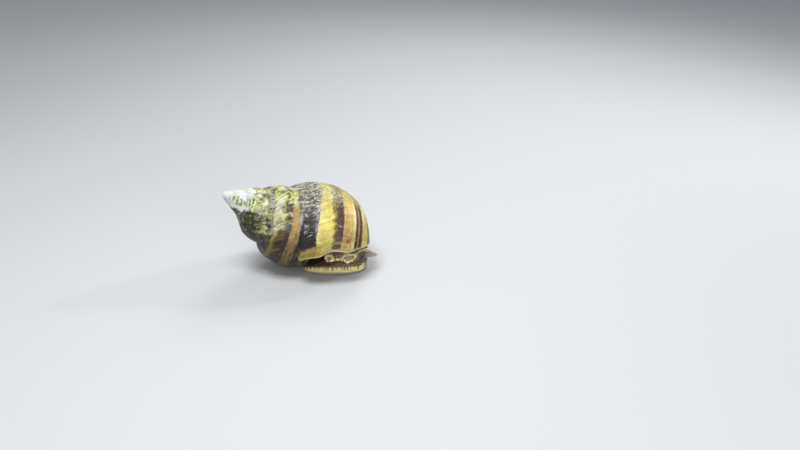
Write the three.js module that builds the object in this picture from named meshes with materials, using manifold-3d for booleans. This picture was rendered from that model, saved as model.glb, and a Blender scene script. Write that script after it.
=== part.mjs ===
// A banded river snail, life size, crawling with its shell carried low over a short foot.
// Millimetres, +Z up. +X is the way it crawls and +Y is its left.
// The origin is on the floor, in the middle of the foot's sole.

import * as THREE from 'three';
import { mergeVertices } from 'three/addons/utils/BufferGeometryUtils.js';
import Module from 'manifold-3d';

const wasm = await Module();
wasm.setup();

// Driving dimensions, in mm and degrees
const GAP = 0.3; // clearance between neighbouring pieces
const FLOOR_SIZE = 80; // side of the blocks that trim pieces to a plane

// The shell grows by one fixed ratio a turn. These are its tube's sizes at growth angle 0,
// on the snail's right. Radii are from the shell's axis, depths are along it from its virtual tip.
const COIL = {
  growth: 1.486,
  centreRadius: 6.42,
  centreDepth: 31.1,
  halfWidth: 7.4,
  halfHeight: 10.95,
  lean: -13.2,
  wall: 0.9,
};
const SHELL_TIP = new THREE.Vector3(-30.2, -0.1, 21.42);
const AXIS_DIP = 27.1; // the shell's axis falls this much towards its mouth
const AXIS_TURN = 6.5; // and turns this much to the snail's left
const MOUTH_PLANE = { height: 4.62, rise: 0.198, roll: -0.4 }; // z = height + rise x + roll y
const MOUTH_CORNER = 20; // growth angle of the corner where the lip meets the whorl before
const LIP_START = -78; // growth angles of the thin-walled last stretch and its hollow
const HOLLOW_START = -62;
const TUBE_END = 76;
const MOUTH_SLIDE = { from: -18, to: 33, by: 2.3 }; // the last seam slides towards the base
const PILLAR = { from: 9, to: 35.2, slope: 0.045 };
// Radius and depth along the blunt cone that the tip is worn down to
const WORN_TIP = { outline: [[0, 4.2], [0.55, 4.3], [3.7, 9.2], [10, 14.5], [10, 24]], lift: 1.4 };
const TIP_FILLING = { from: 3, to: 6.8, slope: 0.46 };

const FOOT = {
  length: 15.7,
  width: 9.4,
  height: 2.3,
  back: 0.9,
  front: 1.5,
  turn: -4.5,
  tailShift: 0.9,
  tailNarrowing: 0.3,
};
const TRUNK = { path: [[1.6, -0.2, 1.2], [1.8, -1.6, 4.2], [1.8, -3.6, 7.6]], along: 4.1, across: 3.0 };
const HEAD = { centre: [5.2, -1.2, 3.6], radii: [2.2, 2.2, 1.8] };
const SNOUT = { path: [[5.6, -1.2, 3.0], [6.9, -1.25, 2.6]], rootRadius: 1.5, tipRadius: 1.0 };
const TENTACLE = {
  root: [7.1, 1.15, 3.9],
  length: 3.1,
  rootRadius: 0.6,
  tipRadius: 0.34,
  spread: 10,
  rise: { left: -1.35, right: 0.3 }, // the left one is held low, behind the right one
};
const EYE = { place: [6.5, 1.75, 3.9], radius: 0.42, stalk: 0.62 };
const NECK_LOBE = {
  path: [[4.4, 5.2, 6.2], [5.8, 4.3, 6.9], [7.0, 3.2, 6.5], [7.9, 1.4, 4.8]],
  thick: 0.7,
  height: 1.5,
};
// The mantle's edge hangs from section angle from to section angle to of the mouth, lowest at
// section angle lowest. Its hem is drop to drop + sag below the plane of the mouth.
const MANTLE_EDGE = {
  inset: 1.8,
  thick: 0.9,
  from: -2,
  to: 44,
  drop: 1.25,
  sag: 1.3,
  lowest: 29,
  spread: 9,
  beads: 9,
};
const MANTLE_INSIDE = 1.4; // how far inside the mouth the mantle's flat end lies
const OPERCULUM = { length: 7.6, width: 5.6, thick: 0.6, centre: [-3.0, -0.9, 3.2], tilt: -26 };

const STEP = 15; // growth angle between the shell's rings
const UP = new THREE.Vector3(0, 0, 1);
const RIGHT = new THREE.Vector3(0, -1, 0);

const radians = THREE.MathUtils.degToRad;
const mix = THREE.MathUtils.lerp;
const at = (list) => new THREE.Vector3(...list);

// Solids from outlines and three.js geometries

function toSolid(geometry) {
  const bare = geometry.clone();
  bare.deleteAttribute('normal');
  bare.deleteAttribute('uv');
  const merged = mergeVertices(bare, 1e-4);
  const corners = merged.index.array;
  const triangles = [];
  for (let i = 0; i < corners.length; i += 3) {
    const [a, b, c] = [corners[i], corners[i + 1], corners[i + 2]];
    if (a !== b && b !== c && c !== a) triangles.push(a, b, c);
  }
  return new wasm.Manifold(
    new wasm.Mesh({
      numProp: 3,
      vertProperties: Float32Array.from(merged.attributes.position.array),
      triVerts: Uint32Array.from(triangles),
    })
  );
}

function signedVolume(points, index) {
  let total = 0;
  for (let i = 0; i < index.length; i += 3) {
    const [a, b, c] = [points[index[i]], points[index[i + 1]], points[index[i + 2]]];
    total += a.dot(b.clone().cross(c));
  }
  return total / 6;
}

// A closed solid through outlines of equal point count, with a fan over each end
function loft(rings) {
  const count = rings[0].length;
  const points = rings.flat();
  const index = [];
  for (let i = 0; i + 1 < rings.length; i += 1) {
    for (let j = 0; j < count; j += 1) {
      const a = i * count + j;
      const b = i * count + ((j + 1) % count);
      index.push(a, b, b + count, a, b + count, a + count);
    }
  }
  for (const [ring, start, flip] of [
    [rings[0], 0, true],
    [rings[rings.length - 1], (rings.length - 1) * count, false],
  ]) {
    const centre = new THREE.Vector3();
    for (const p of ring) centre.addScaledVector(p, 1 / count);
    points.push(centre);
    for (let j = 0; j < count; j += 1) {
      const edge = [start + j, start + ((j + 1) % count)];
      if (flip) edge.reverse();
      index.push(...edge, points.length - 1);
    }
  }
  if (signedVolume(points, index) < 0) index.reverse();
  const geometry = new THREE.BufferGeometry();
  const flat = points.flatMap((p) => p.toArray());
  geometry.setAttribute('position', new THREE.Float32BufferAttribute(flat, 3));
  geometry.setIndex(index);
  return toSolid(geometry);
}

// A round or oval rod along a curve, its two radii given by functions of the way along
function rod(curve, radiusAcross, radiusUp, sides, steps) {
  const rings = [];
  for (let i = 0; i <= steps; i += 1) {
    const t = i / steps;
    const along = curve.getTangentAt(t);
    const across = new THREE.Vector3().crossVectors(UP, along).normalize();
    const up = new THREE.Vector3().crossVectors(along, across);
    const middle = curve.getPointAt(t);
    const ring = [];
    for (let j = 0; j < sides; j += 1) {
      const turn = (j / sides) * 2 * Math.PI;
      ring.push(
        middle
          .clone()
          .addScaledVector(across, radiusAcross(t) * Math.cos(turn))
          .addScaledVector(up, radiusUp(t) * Math.sin(turn))
      );
    }
    rings.push(ring);
  }
  return loft(rings);
}

function ball(centre, radii, across = 16, down = 10) {
  const geometry = new THREE.SphereGeometry(1, across, down);
  geometry.scale(...radii);
  geometry.translate(...centre);
  return toSolid(geometry);
}

// What is left of a solid on the side of a plane that its normal points to
function keepSide(solid, point, normal) {
  const block = new THREE.BoxGeometry(FLOOR_SIZE, FLOOR_SIZE, FLOOR_SIZE);
  block.translate(0, 0, -FLOOR_SIZE / 2);
  block.applyQuaternion(new THREE.Quaternion().setFromUnitVectors(UP, normal));
  block.translate(...point.toArray());
  return solid.subtract(toSolid(block));
}

function join(solids) {
  return solids.reduce((sum, piece) => sum.add(piece));
}

function cut(solid, ...tools) {
  return tools.reduce((rest, tool) => rest.subtract(tool), solid);
}

function largest(solid) {
  const parts = solid.decompose();
  parts.sort((a, b) => b.volume() - a.volume());
  return parts[0];
}

// The shell's own frame

const axis = new THREE.Vector3(
  Math.cos(radians(AXIS_DIP)) * Math.cos(radians(AXIS_TURN)),
  Math.cos(radians(AXIS_DIP)) * Math.sin(radians(AXIS_TURN)),
  -Math.sin(radians(AXIS_DIP))
);
const nearSide = RIGHT.clone().addScaledVector(axis, -RIGHT.dot(axis)).normalize();
const underSide = new THREE.Vector3().crossVectors(axis, nearSide);

const mouthNormal = new THREE.Vector3(-MOUTH_PLANE.rise, -MOUTH_PLANE.roll, 1).normalize();
const mouthPoint = new THREE.Vector3(0, 0, MOUTH_PLANE.height);

function inShell(radius, depth, angle) {
  return SHELL_TIP.clone()
    .addScaledVector(axis, depth)
    .addScaledVector(nearSide, radius * Math.cos(radians(angle)))
    .addScaledVector(underSide, radius * Math.sin(radians(angle)));
}

function tangent(angle) {
  return nearSide
    .clone()
    .multiplyScalar(-Math.sin(radians(angle)))
    .addScaledVector(underSide, Math.cos(radians(angle)));
}

// The tube's oval section at a growth angle: radius and depth of its point at angle u
function section(angle, u, grow = 0) {
  const size = COIL.growth ** (angle / 360);
  const x = (COIL.halfWidth * size + grow) * Math.cos(radians(u));
  const y = (COIL.halfHeight * size + grow) * Math.sin(radians(u));
  const lean = radians(COIL.lean);
  return {
    radius: COIL.centreRadius * size + x * Math.cos(lean) - y * Math.sin(lean),
    depth: COIL.centreDepth * size + x * Math.sin(lean) + y * Math.cos(lean),
  };
}

// Where a value that changes sign between two ends is zero
function zeroOf(value, low, high) {
  const rising = value(high) > value(low);
  for (let i = 0; i < 40; i += 1) {
    const middle = (low + high) / 2;
    if (value(middle) > 0 === rising) high = middle;
    else low = middle;
  }
  return (low + high) / 2;
}

// How far a point of the oval lies outside the next, larger turn's oval, and its angle there
function onNextTurn(u) {
  const p = section(0, u);
  const dr = p.radius / COIL.growth - COIL.centreRadius;
  const dz = p.depth / COIL.growth - COIL.centreDepth;
  const lean = radians(COIL.lean);
  const x = (dr * Math.cos(lean) + dz * Math.sin(lean)) / COIL.halfWidth;
  const y = (-dr * Math.sin(lean) + dz * Math.cos(lean)) / COIL.halfHeight;
  return { value: x * x + y * y - 1, angle: THREE.MathUtils.radToDeg(Math.atan2(y, x)) };
}

// A turn shows between its upper seam and its lower seam, where the next turn covers it
const LOWER_SEAM = zeroOf((u) => onNextTurn(u).value, -20, 60);
const UPPER_SEAM = onNextTurn(LOWER_SEAM).angle;

function seamDepth(angle) {
  return section(angle, UPPER_SEAM).depth;
}

function mouthSlide(angle) {
  const { from, to, by } = MOUTH_SLIDE;
  return by * THREE.MathUtils.clamp((angle - from) / (to - from), 0, 1);
}

// One outline of the tube in the half plane at a growth angle. It runs along the upper face
// that meets the turn before, round the outside, and back to the pillar in the middle.
function tubeRing(angle, { grow = 0, top = GAP, pillar = GAP, covered = false, shift = 0 }) {
  const upper = seamDepth(angle) + top + mouthSlide(angle);
  const from = zeroOf((u) => section(angle, u, grow).depth - upper, -90, 0);
  const inner = (depth) => depth * PILLAR.slope + pillar;
  const gapToPillar = (u) => {
    const p = section(angle, u, grow);
    return p.radius - inner(p.depth);
  };
  const to = covered ? LOWER_SEAM : zeroOf(gapToPillar, 60, 180);
  const steps = covered ? 9 : 14;
  const outline = [[inner(upper), upper]];
  for (let i = 0; i <= steps; i += 1) {
    const p = section(angle, mix(from, to, i / steps), grow);
    outline.push([p.radius, p.depth]);
  }
  if (covered) {
    const lower = section(angle, LOWER_SEAM, grow).depth;
    outline.push([inner(lower), lower]);
  }
  const slide = tangent(angle).multiplyScalar(shift);
  return outline.map(([radius, depth]) => inShell(radius, depth, angle).add(slide));
}

// A stretch of the tube as a solid, its two end faces drawn back by half a gap
function tube(from, to, { drawBack = GAP / 2, ...options } = {}) {
  const count = Math.ceil((to - from) / STEP);
  const rings = [];
  for (let i = 0; i <= count; i += 1) {
    const shift = drawBack * ((i === 0) - (i === count));
    rings.push(tubeRing(mix(from, to, i / count), { ...options, shift }));
  }
  return loft(rings);
}

// Shell pieces

function bodyWhorl(grow = 0) {
  const drawBack = GAP / 2 - grow;
  return tube(MOUTH_CORNER - 360, LIP_START, { grow, top: GAP - grow, pillar: GAP - grow, drawBack });
}

function upperWhorl(turnsBack) {
  const end = MOUTH_CORNER - 360 * turnsBack;
  return tube(end - 360, end, { covered: true });
}

// A round solid about the shell's axis, from the radii and depths of its outline
function turned(outline, sides) {
  const geometry = new THREE.LatheGeometry(outline.map((p) => new THREE.Vector2(...p)), sides);
  const turn = new THREE.Quaternion().setFromUnitVectors(new THREE.Vector3(0, 1, 0), axis);
  geometry.applyQuaternion(turn);
  geometry.translate(...SHELL_TIP.toArray());
  return toSolid(geometry);
}

function pillar(grow = 0) {
  const { from, to, slope } = PILLAR;
  const thin = from * slope + grow;
  const thick = to * slope + grow;
  return turned([[0, from - grow], [thin, from - grow], [thick, to], [0, to + 0.5 + grow]], 12);
}

// Everything outside this cone has worn away
function wearCone() {
  const { outline, lift } = WORN_TIP;
  const deepest = outline[outline.length - 1][1];
  const cone = turned([...outline, [0, deepest]], 20);
  return cone.translate(underSide.clone().multiplyScalar(-lift).toArray());
}

function spireWhorl() {
  return largest(upperWhorl(2).intersect(wearCone()));
}

// The oldest turns, worn down to a blunt cone
function wornApex() {
  const end = MOUTH_CORNER - 360 * 3;
  const turn = tube(end - 360, end, { top: -0.4 });
  const { from, to, slope } = TIP_FILLING;
  const filling = turned([[0, from], [from * slope, from], [to * slope, to], [0, to]], 16);
  const worn = turn.add(filling).intersect(wearCone());
  const nextTurn = tube(end, end + 360, { covered: true, top: 0, pillar: -0.2, drawBack: 0 });
  return largest(cut(worn, nextTurn, pillar(GAP)));
}

// The thin-walled last stretch of the shell, open where it meets the plane of the mouth
function outerLip(grow = 0) {
  const thin = GAP - grow;
  const thick = GAP + COIL.wall + grow;
  const skin = { grow, top: thin, pillar: thin, drawBack: GAP / 2 - grow };
  const outside = tube(LIP_START, TUBE_END, skin);
  const inside = tube(HOLLOW_START, TUBE_END + 4, {
    grow: -COIL.wall - grow,
    top: thick,
    pillar: thick,
  });
  const shell = cut(outside, inside, bodyWhorl(GAP - grow));
  const plane = mouthPoint.clone().addScaledVector(mouthNormal, -grow);
  return largest(keepSide(shell, plane, mouthNormal));
}

// Soft parts

// The foot: flat below, with a low rounded rim and a domed back. Its tail is narrower and
// bends to the snail's right, clear of the shell's belly.
function foot(grow = 0) {
  const { length, width, height, back, front, turn, tailShift, tailNarrowing } = FOOT;
  const stations = [-1, -0.97, -0.9, -0.78, -0.6, -0.4, -0.2, 0, 0.2, 0.4, 0.6, 0.78, 0.9, 0.97, 1];
  const rings = stations.map((t) => {
    const tail = Math.max(0, -t) ** 1.5;
    const oval = (1 - Math.abs(t) ** 2.7) ** 0.48 * (1 - tailNarrowing * tail);
    const half = mix(0.4, width / 2, oval) + grow;
    const end = t < 0 ? back : front;
    const top = mix(height, end, Math.abs(t) ** 3) + grow;
    const x = t * (length / 2 + grow);
    const side = [
      [0.9, -grow],
      [1, 0.45],
      [0.93, top * 0.72],
      [0.76, top * 0.94],
      [0.4, top],
    ];
    const outline = [...side.map(([y, z]) => [-y, z]), [0, top * 1.04], ...side.reverse()];
    return outline.map(([y, z]) =>
      new THREE.Vector3(x, y * half - tailShift * tail, z).applyAxisAngle(UP, radians(turn))
    );
  });
  return loft(rings);
}

// The column of flesh between the foot and the mantle
function trunk(grow = 0) {
  const curve = new THREE.CatmullRomCurve3(TRUNK.path.map(at));
  const rings = [];
  for (let i = 0; i <= 6; i += 1) {
    const t = i / 6;
    const middle = curve.getPoint(t);
    const lean = new THREE.Vector3(0, 0, 1).lerp(mouthNormal, t).normalize();
    const along = new THREE.Vector3(1, 0, 0).addScaledVector(lean, -lean.x).normalize();
    const across = new THREE.Vector3().crossVectors(lean, along);
    const ring = [];
    for (let j = 0; j < 16; j += 1) {
      const turn = (j / 16) * 2 * Math.PI;
      ring.push(
        middle
          .clone()
          .addScaledVector(along, (TRUNK.along + grow) * Math.cos(turn))
          .addScaledVector(across, (TRUNK.across + grow) * Math.sin(turn))
      );
    }
    rings.push(ring);
  }
  return loft(rings);
}

// The mantle fills the shell's mouth, a little inside the lip
function mantle(grow = 0) {
  const wall = COIL.wall + GAP - grow;
  const inner = { grow: -wall, top: GAP + wall, pillar: GAP + wall };
  const filling = tube(HOLLOW_START + 4, TUBE_END - 4, inner);
  const inside = mouthPoint.clone().addScaledVector(mouthNormal, MANTLE_INSIDE - grow);
  return keepSide(cut(filling, bodyWhorl(GAP), outerLip(GAP / 2)), inside, mouthNormal);
}

// The point where the tube, drawn in by an inset, meets the plane of the shell's mouth
function mouthRim(u, inset, drop) {
  const place = (angle) => {
    const p = section(angle, u, -inset);
    return inShell(p.radius, p.depth, angle);
  };
  const above = (angle) => place(angle).sub(mouthPoint).dot(mouthNormal);
  const angle = zeroOf(above, LIP_START, TUBE_END);
  return place(angle).addScaledVector(mouthNormal, -drop);
}

// The mantle's edge hangs from just inside the shell's mouth as a short curtain. Its hem is a
// row of soft frills.
function mantleEdge(grow = 0) {
  const { inset, thick, from, to, drop, sag, lowest, spread, beads } = MANTLE_EDGE;
  const root = MANTLE_INSIDE - GAP;
  const hemAt = (u) => drop + sag * Math.exp(-(((u - lowest) / spread) ** 2));
  const path = [];
  for (let i = 0; i <= 10; i += 1) {
    const u = mix(from, to, i / 10);
    path.push(mouthRim(u, inset, (hemAt(u) - root) / 2));
  }
  const curve = new THREE.CatmullRomCurve3(path);
  const taper = (t) => Math.min(1, 0.45 + 4 * Math.min(t, 1 - t));
  const height = (t) => (hemAt(mix(from, to, t)) + root) / 2;
  const sheet = rod(
    curve,
    (t) => (thick / 2) * taper(t) + grow,
    (t) => height(t) * taper(t) + grow,
    10,
    16
  );
  const frills = [];
  for (let i = 1; i < beads; i += 1) {
    const t = i / beads;
    const size = 0.5 + 0.1 * Math.sin(i * 2.3) + grow;
    const middle = curve.getPointAt(t);
    middle.z -= height(t) - 0.25;
    frills.push(ball(middle.toArray(), [size, size * 0.9, size], 8, 6));
  }
  return join([sheet, ...frills]);
}

// A point of the head given for the snail's left side, taken to the right side by side = -1
function headPlace([forward, out, height], side) {
  return new THREE.Vector3(forward, HEAD.centre[1] + side * out, height);
}

function head(grow = 0) {
  const { centre, radii } = HEAD;
  return ball(centre, radii.map((r) => r + grow), 18, 12);
}

function snout(grow = 0) {
  const curve = new THREE.LineCurve3(...SNOUT.path.map(at));
  const radius = (t) => mix(SNOUT.rootRadius, SNOUT.tipRadius, t) * Math.sqrt(1 - 0.55 * t ** 6) + grow;
  return rod(curve, radius, radius, 14, 6);
}

function tentacle(side, grow = 0) {
  const { root, length, rootRadius, tipRadius, spread, rise } = TENTACLE;
  const start = headPlace(root, side);
  const lift = side > 0 ? rise.left : rise.right;
  const out = radians(spread);
  const aim = new THREE.Vector3(Math.cos(out), side * Math.sin(out), 0);
  const points = [0, 1, 2, 3].map((i) =>
    start
      .clone()
      .addScaledVector(aim, (length * i) / 3)
      .add(new THREE.Vector3(0, 0, (lift * i) / 3))
  );
  const radius = (t) => mix(rootRadius, tipRadius, t) + grow;
  return rod(new THREE.CatmullRomCurve3(points), radius, radius, 10, 8);
}

function eye(side, grow = 0) {
  const radius = EYE.radius + grow;
  return ball(headPlace(EYE.place, side).toArray(), [radius, radius, radius], 12, 8);
}

function eyeStalk(side, grow = 0) {
  const [forward, out, height] = EYE.place;
  const radius = EYE.stalk + grow;
  const middle = headPlace([forward, out - 0.45, height - 0.1], side);
  return ball(middle.toArray(), [radius, radius * 1.2, radius], 12, 8);
}

// A soft flap that arches over the side of the neck, given for the left side
function neckLobe(side, grow = 0) {
  const { path, thick, height } = NECK_LOBE;
  const swell = (t) => 0.5 + 0.5 * Math.sin(Math.PI * t);
  return rod(
    new THREE.CatmullRomCurve3(path.map((p) => headPlace(p, side))),
    () => thick / 2 + grow,
    (t) => (height / 2) * swell(t) + grow,
    10,
    10
  );
}

// The horny lid on the back of the foot
function operculum(grow = 0) {
  const { length, width, thick, centre, tilt } = OPERCULUM;
  const rings = [];
  for (const [height, size] of [
    [-thick / 2 - grow, 0.9],
    [0, 1],
    [thick / 2 + grow, 0.9],
  ]) {
    const ring = [];
    for (let j = 0; j < 20; j += 1) {
      const turn = (j / 20) * 2 * Math.PI;
      const x = (length / 2 + grow) * size * Math.cos(turn);
      const y = (width / 2 + grow) * size * Math.sin(turn);
      ring.push(
        new THREE.Vector3(x, y, height)
          .applyAxisAngle(new THREE.Vector3(0, 1, 0), radians(tilt))
          .add(at(centre))
      );
    }
    rings.push(ring);
  }
  return loft(rings);
}

const group = new THREE.Group();
const shellGroup = new THREE.Group();
group.add(shellGroup);

const COLOURS = {
  apex: [0xc9cdb4, 0.85],
  spire: [0x6f7a4a, 0.8],
  whorl: [0x8a7a3e, 0.6],
  lip: [0xcdbb62, 0.45],
  foot: [0xd9c488, 0.4],
  operculum: [0x5a3f34, 0.5],
  skin: [0x6d6048, 0.4],
  eye: [0x141312, 0.15],
  lobe: [0xd2b56a, 0.4],
  mantle: [0xc9b376, 0.45],
};

function addPiece(parent, name, solid, [colour, roughness]) {
  const mesh = solid.getMesh();
  const geometry = new THREE.BufferGeometry();
  const points = Float32Array.from(mesh.vertProperties);
  geometry.setAttribute('position', new THREE.BufferAttribute(points, 3));
  geometry.setIndex(new THREE.BufferAttribute(Uint32Array.from(mesh.triVerts), 1));
  geometry.computeVertexNormals();
  const material = new THREE.MeshStandardMaterial({ color: colour, roughness, metalness: 0 });
  const piece = new THREE.Mesh(geometry, material);
  piece.name = name;
  parent.add(piece);
}

addPiece(shellGroup, 'shell_apex', wornApex(), COLOURS.apex);
addPiece(shellGroup, 'shell_spire_whorl', spireWhorl(), COLOURS.spire);
addPiece(shellGroup, 'shell_penultimate_whorl', upperWhorl(1), COLOURS.whorl);
const belly = keepSide(bodyWhorl(), new THREE.Vector3(), UP);
addPiece(shellGroup, 'shell_body_whorl', belly, COLOURS.whorl);
addPiece(shellGroup, 'shell_outer_lip', outerLip(), COLOURS.lip);
addPiece(shellGroup, 'shell_columella', pillar(), COLOURS.lip);

const bodyGroup = new THREE.Group();
group.add(bodyGroup);
const sides = { right: -1, left: 1 };
const bothSides = (form) => [form(-1, GAP), form(1, GAP)];

addPiece(bodyGroup, 'foot', cut(foot(), bodyWhorl(GAP)), COLOURS.foot);
const lid = cut(operculum(), bodyWhorl(GAP), foot(GAP));
addPiece(bodyGroup, 'operculum', largest(lid), COLOURS.operculum);
const snoutSolid = cut(snout(), foot(GAP));
addPiece(bodyGroup, 'snout', largest(snoutSolid), COLOURS.skin);
for (const [name, side] of Object.entries(sides)) {
  addPiece(bodyGroup, `eye_${name}`, eye(side), COLOURS.eye);
  const stalk = cut(eyeStalk(side), eye(side, GAP), tentacle(side, GAP), snout(GAP));
  addPiece(bodyGroup, `eye_stalk_${name}`, largest(stalk), COLOURS.skin);
  addPiece(bodyGroup, `tentacle_${name}`, largest(cut(tentacle(side), snout(GAP))), COLOURS.skin);
}
const headTools = [snout(GAP), foot(GAP), ...bothSides(eye), ...bothSides(eyeStalk), ...bothSides(tentacle)];
addPiece(bodyGroup, 'head', largest(cut(head(), ...headTools)), COLOURS.skin);
const trunkTools = [foot(GAP), head(GAP), bodyWhorl(GAP), outerLip(GAP), operculum(GAP), pillar(GAP)];
const mantleFloor = mouthPoint.clone().addScaledVector(mouthNormal, MANTLE_INSIDE - GAP);
const column = keepSide(cut(trunk(), ...trunkTools), mantleFloor, mouthNormal.clone().negate());
addPiece(bodyGroup, 'trunk', largest(column), COLOURS.skin);
for (const [name, side] of Object.entries(sides)) {
  const lobe = cut(neckLobe(side), head(GAP), trunk(GAP), outerLip(GAP), bodyWhorl(GAP), pillar(GAP));
  addPiece(bodyGroup, `neck_lobe_${name}`, largest(lobe), COLOURS.lobe);
}
addPiece(bodyGroup, 'mantle', largest(mantle()), COLOURS.mantle);
const edgeTools = [trunk(GAP), head(GAP), neckLobe(-1, GAP), mantle(GAP), outerLip(GAP), pillar(GAP)];
addPiece(bodyGroup, 'mantle_edge', largest(cut(mantleEdge(), ...edgeTools)), COLOURS.mantle);

export default group;
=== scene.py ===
"""A banded river snail crawling, life size, in metres. Shapes are made in millimetres and scaled once."""

from types import SimpleNamespace

import bpy
import numpy as np
from mathutils import Matrix, Vector


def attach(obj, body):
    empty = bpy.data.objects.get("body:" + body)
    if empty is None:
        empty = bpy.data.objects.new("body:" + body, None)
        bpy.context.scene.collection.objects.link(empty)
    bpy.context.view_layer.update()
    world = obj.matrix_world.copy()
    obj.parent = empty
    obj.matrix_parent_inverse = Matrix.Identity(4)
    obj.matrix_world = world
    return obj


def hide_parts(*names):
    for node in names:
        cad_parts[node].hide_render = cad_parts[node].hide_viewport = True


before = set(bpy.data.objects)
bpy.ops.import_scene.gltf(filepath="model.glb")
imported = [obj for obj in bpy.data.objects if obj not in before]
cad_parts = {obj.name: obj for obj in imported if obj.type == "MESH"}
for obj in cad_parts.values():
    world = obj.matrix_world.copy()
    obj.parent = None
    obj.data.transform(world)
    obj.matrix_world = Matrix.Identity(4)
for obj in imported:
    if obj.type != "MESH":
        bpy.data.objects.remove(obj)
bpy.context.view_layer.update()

MM = 0.001

# The shell's coil, as in the solids: sizes of its tube at growth angle 0, in mm and degrees
GROWTH = 1.486
CENTRE_RADIUS, CENTRE_DEPTH = 6.42, 31.1
HALF_WIDTH, HALF_HEIGHT = 7.4, 10.95
LEAN = np.radians(-13.2)
SHELL_TIP = np.array([-30.2, -0.1, 21.42])
AXIS_DIP, AXIS_TURN = np.radians(27.1), np.radians(6.5)
MOUTH_HEIGHT, MOUTH_RISE, MOUTH_ROLL = 4.62, 0.198, -0.4
UPPER_SEAM = -47.5
CORNER = -32.0  # section angle of the lip's upper corner
PILLAR = 158.0  # section angle at which the surface ends, inside by the pillar

AXIS = np.array([
    np.cos(AXIS_DIP) * np.cos(AXIS_TURN), np.cos(AXIS_DIP) * np.sin(AXIS_TURN), -np.sin(AXIS_DIP),
])
RIGHT = np.array([0.0, -1.0, 0.0])
NEAR = RIGHT - AXIS * (RIGHT @ AXIS)
NEAR /= np.linalg.norm(NEAR)
UNDER = np.cross(AXIS, NEAR)
MOUTH_NORMAL = np.array([-MOUTH_RISE, -MOUTH_ROLL, 1.0])
MOUTH_NORMAL /= np.linalg.norm(MOUTH_NORMAL)
MOUTH_POINT = np.array([0.0, 0.0, MOUTH_HEIGHT])


def rise(value, low, high):
    """From 0 up to 1 as a value goes from low to high."""
    t = np.clip((value - low) / (high - low), 0, 1)
    return t * t * (3 - 2 * t)


def mix(a, b, t):
    return a + (b - a) * t


def fall(value, low, high):
    """From 1 down to 0 as a value goes from low to high."""
    return 1 - rise(value, low, high)


def window(value, low, full, last_full, high):
    """From 0 up to 1 between low and full, and down to 0 between last_full and high."""
    return rise(value, low, full) * fall(value, last_full, high)


def bell(value, middle, width):
    return np.exp(-(((value - middle) / width) ** 2))


# Smooth noise on points, from -1 to 1


def lattice(cell, seed):
    x, y, z = cell[..., 0], cell[..., 1], cell[..., 2]
    h = (x * 374761393 + y * 668265263 + z * 1440662683 + seed * 1013904223) & 0xFFFFFFFF
    h = ((h ^ (h >> 13)) * 1274126177) & 0xFFFFFFFF
    h = ((h ^ (h >> 15)) * 2246822519) & 0xFFFFFFFF
    return ((h ^ (h >> 16)) & 0xFFFF) / 32767.5 - 1.0


def noise(points, size, seed=0, octaves=3, roughness=0.5):
    total, strength, reach = 0.0, 1.0, 0.0
    q = np.asarray(points, float) / size
    for octave in range(octaves):
        cell = np.floor(q).astype(np.int64)
        f = q - cell
        f = f * f * (3 - 2 * f)
        value = 0.0
        for corner in range(8):
            step = np.array([corner & 1, (corner >> 1) & 1, corner >> 2])
            weight = np.prod(np.where(step == 1, f, 1 - f), axis=-1)
            value = value + weight * lattice(cell + step, seed + octave * 17)
        total = total + strength * value
        reach += strength
        strength *= roughness
        q = q * 2.03 + 11.7
    return total / reach


# Objects


def placed(name, data):
    """A new object in the scene."""
    obj = bpy.data.objects.new(name, data)
    bpy.context.scene.collection.objects.link(obj)
    return obj


def make_mesh(name, points, faces, material, body="root", masks=None):
    """An object from points in mm, with one float attribute for each mask."""
    mesh = bpy.data.meshes.new(name)
    mesh.from_pydata((np.reshape(points, (-1, 3)) * MM).tolist(), [], [list(f) for f in faces])
    mesh.validate()
    for key, values in (masks or {}).items():
        attribute = mesh.attributes.new(key, "FLOAT", "POINT")
        attribute.data.foreach_set("value", np.asarray(values, np.float32).ravel())
    for polygon in mesh.polygons:
        polygon.use_smooth = True
    mesh.materials.append(material)
    obj = placed(name, mesh)
    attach(obj, body)
    return obj


def grid_faces(rows, columns, wrap=False, start=0):
    """Quads over a grid of points, its columns closed into a ring if wrap is true."""
    faces = []
    for i in range(rows - 1):
        for j in range(columns if wrap else columns - 1):
            a = start + i * columns + j
            b = start + i * columns + (j + 1) % columns
            faces.append((a, b, b + columns, a + columns))
    return faces


# Materials


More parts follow.
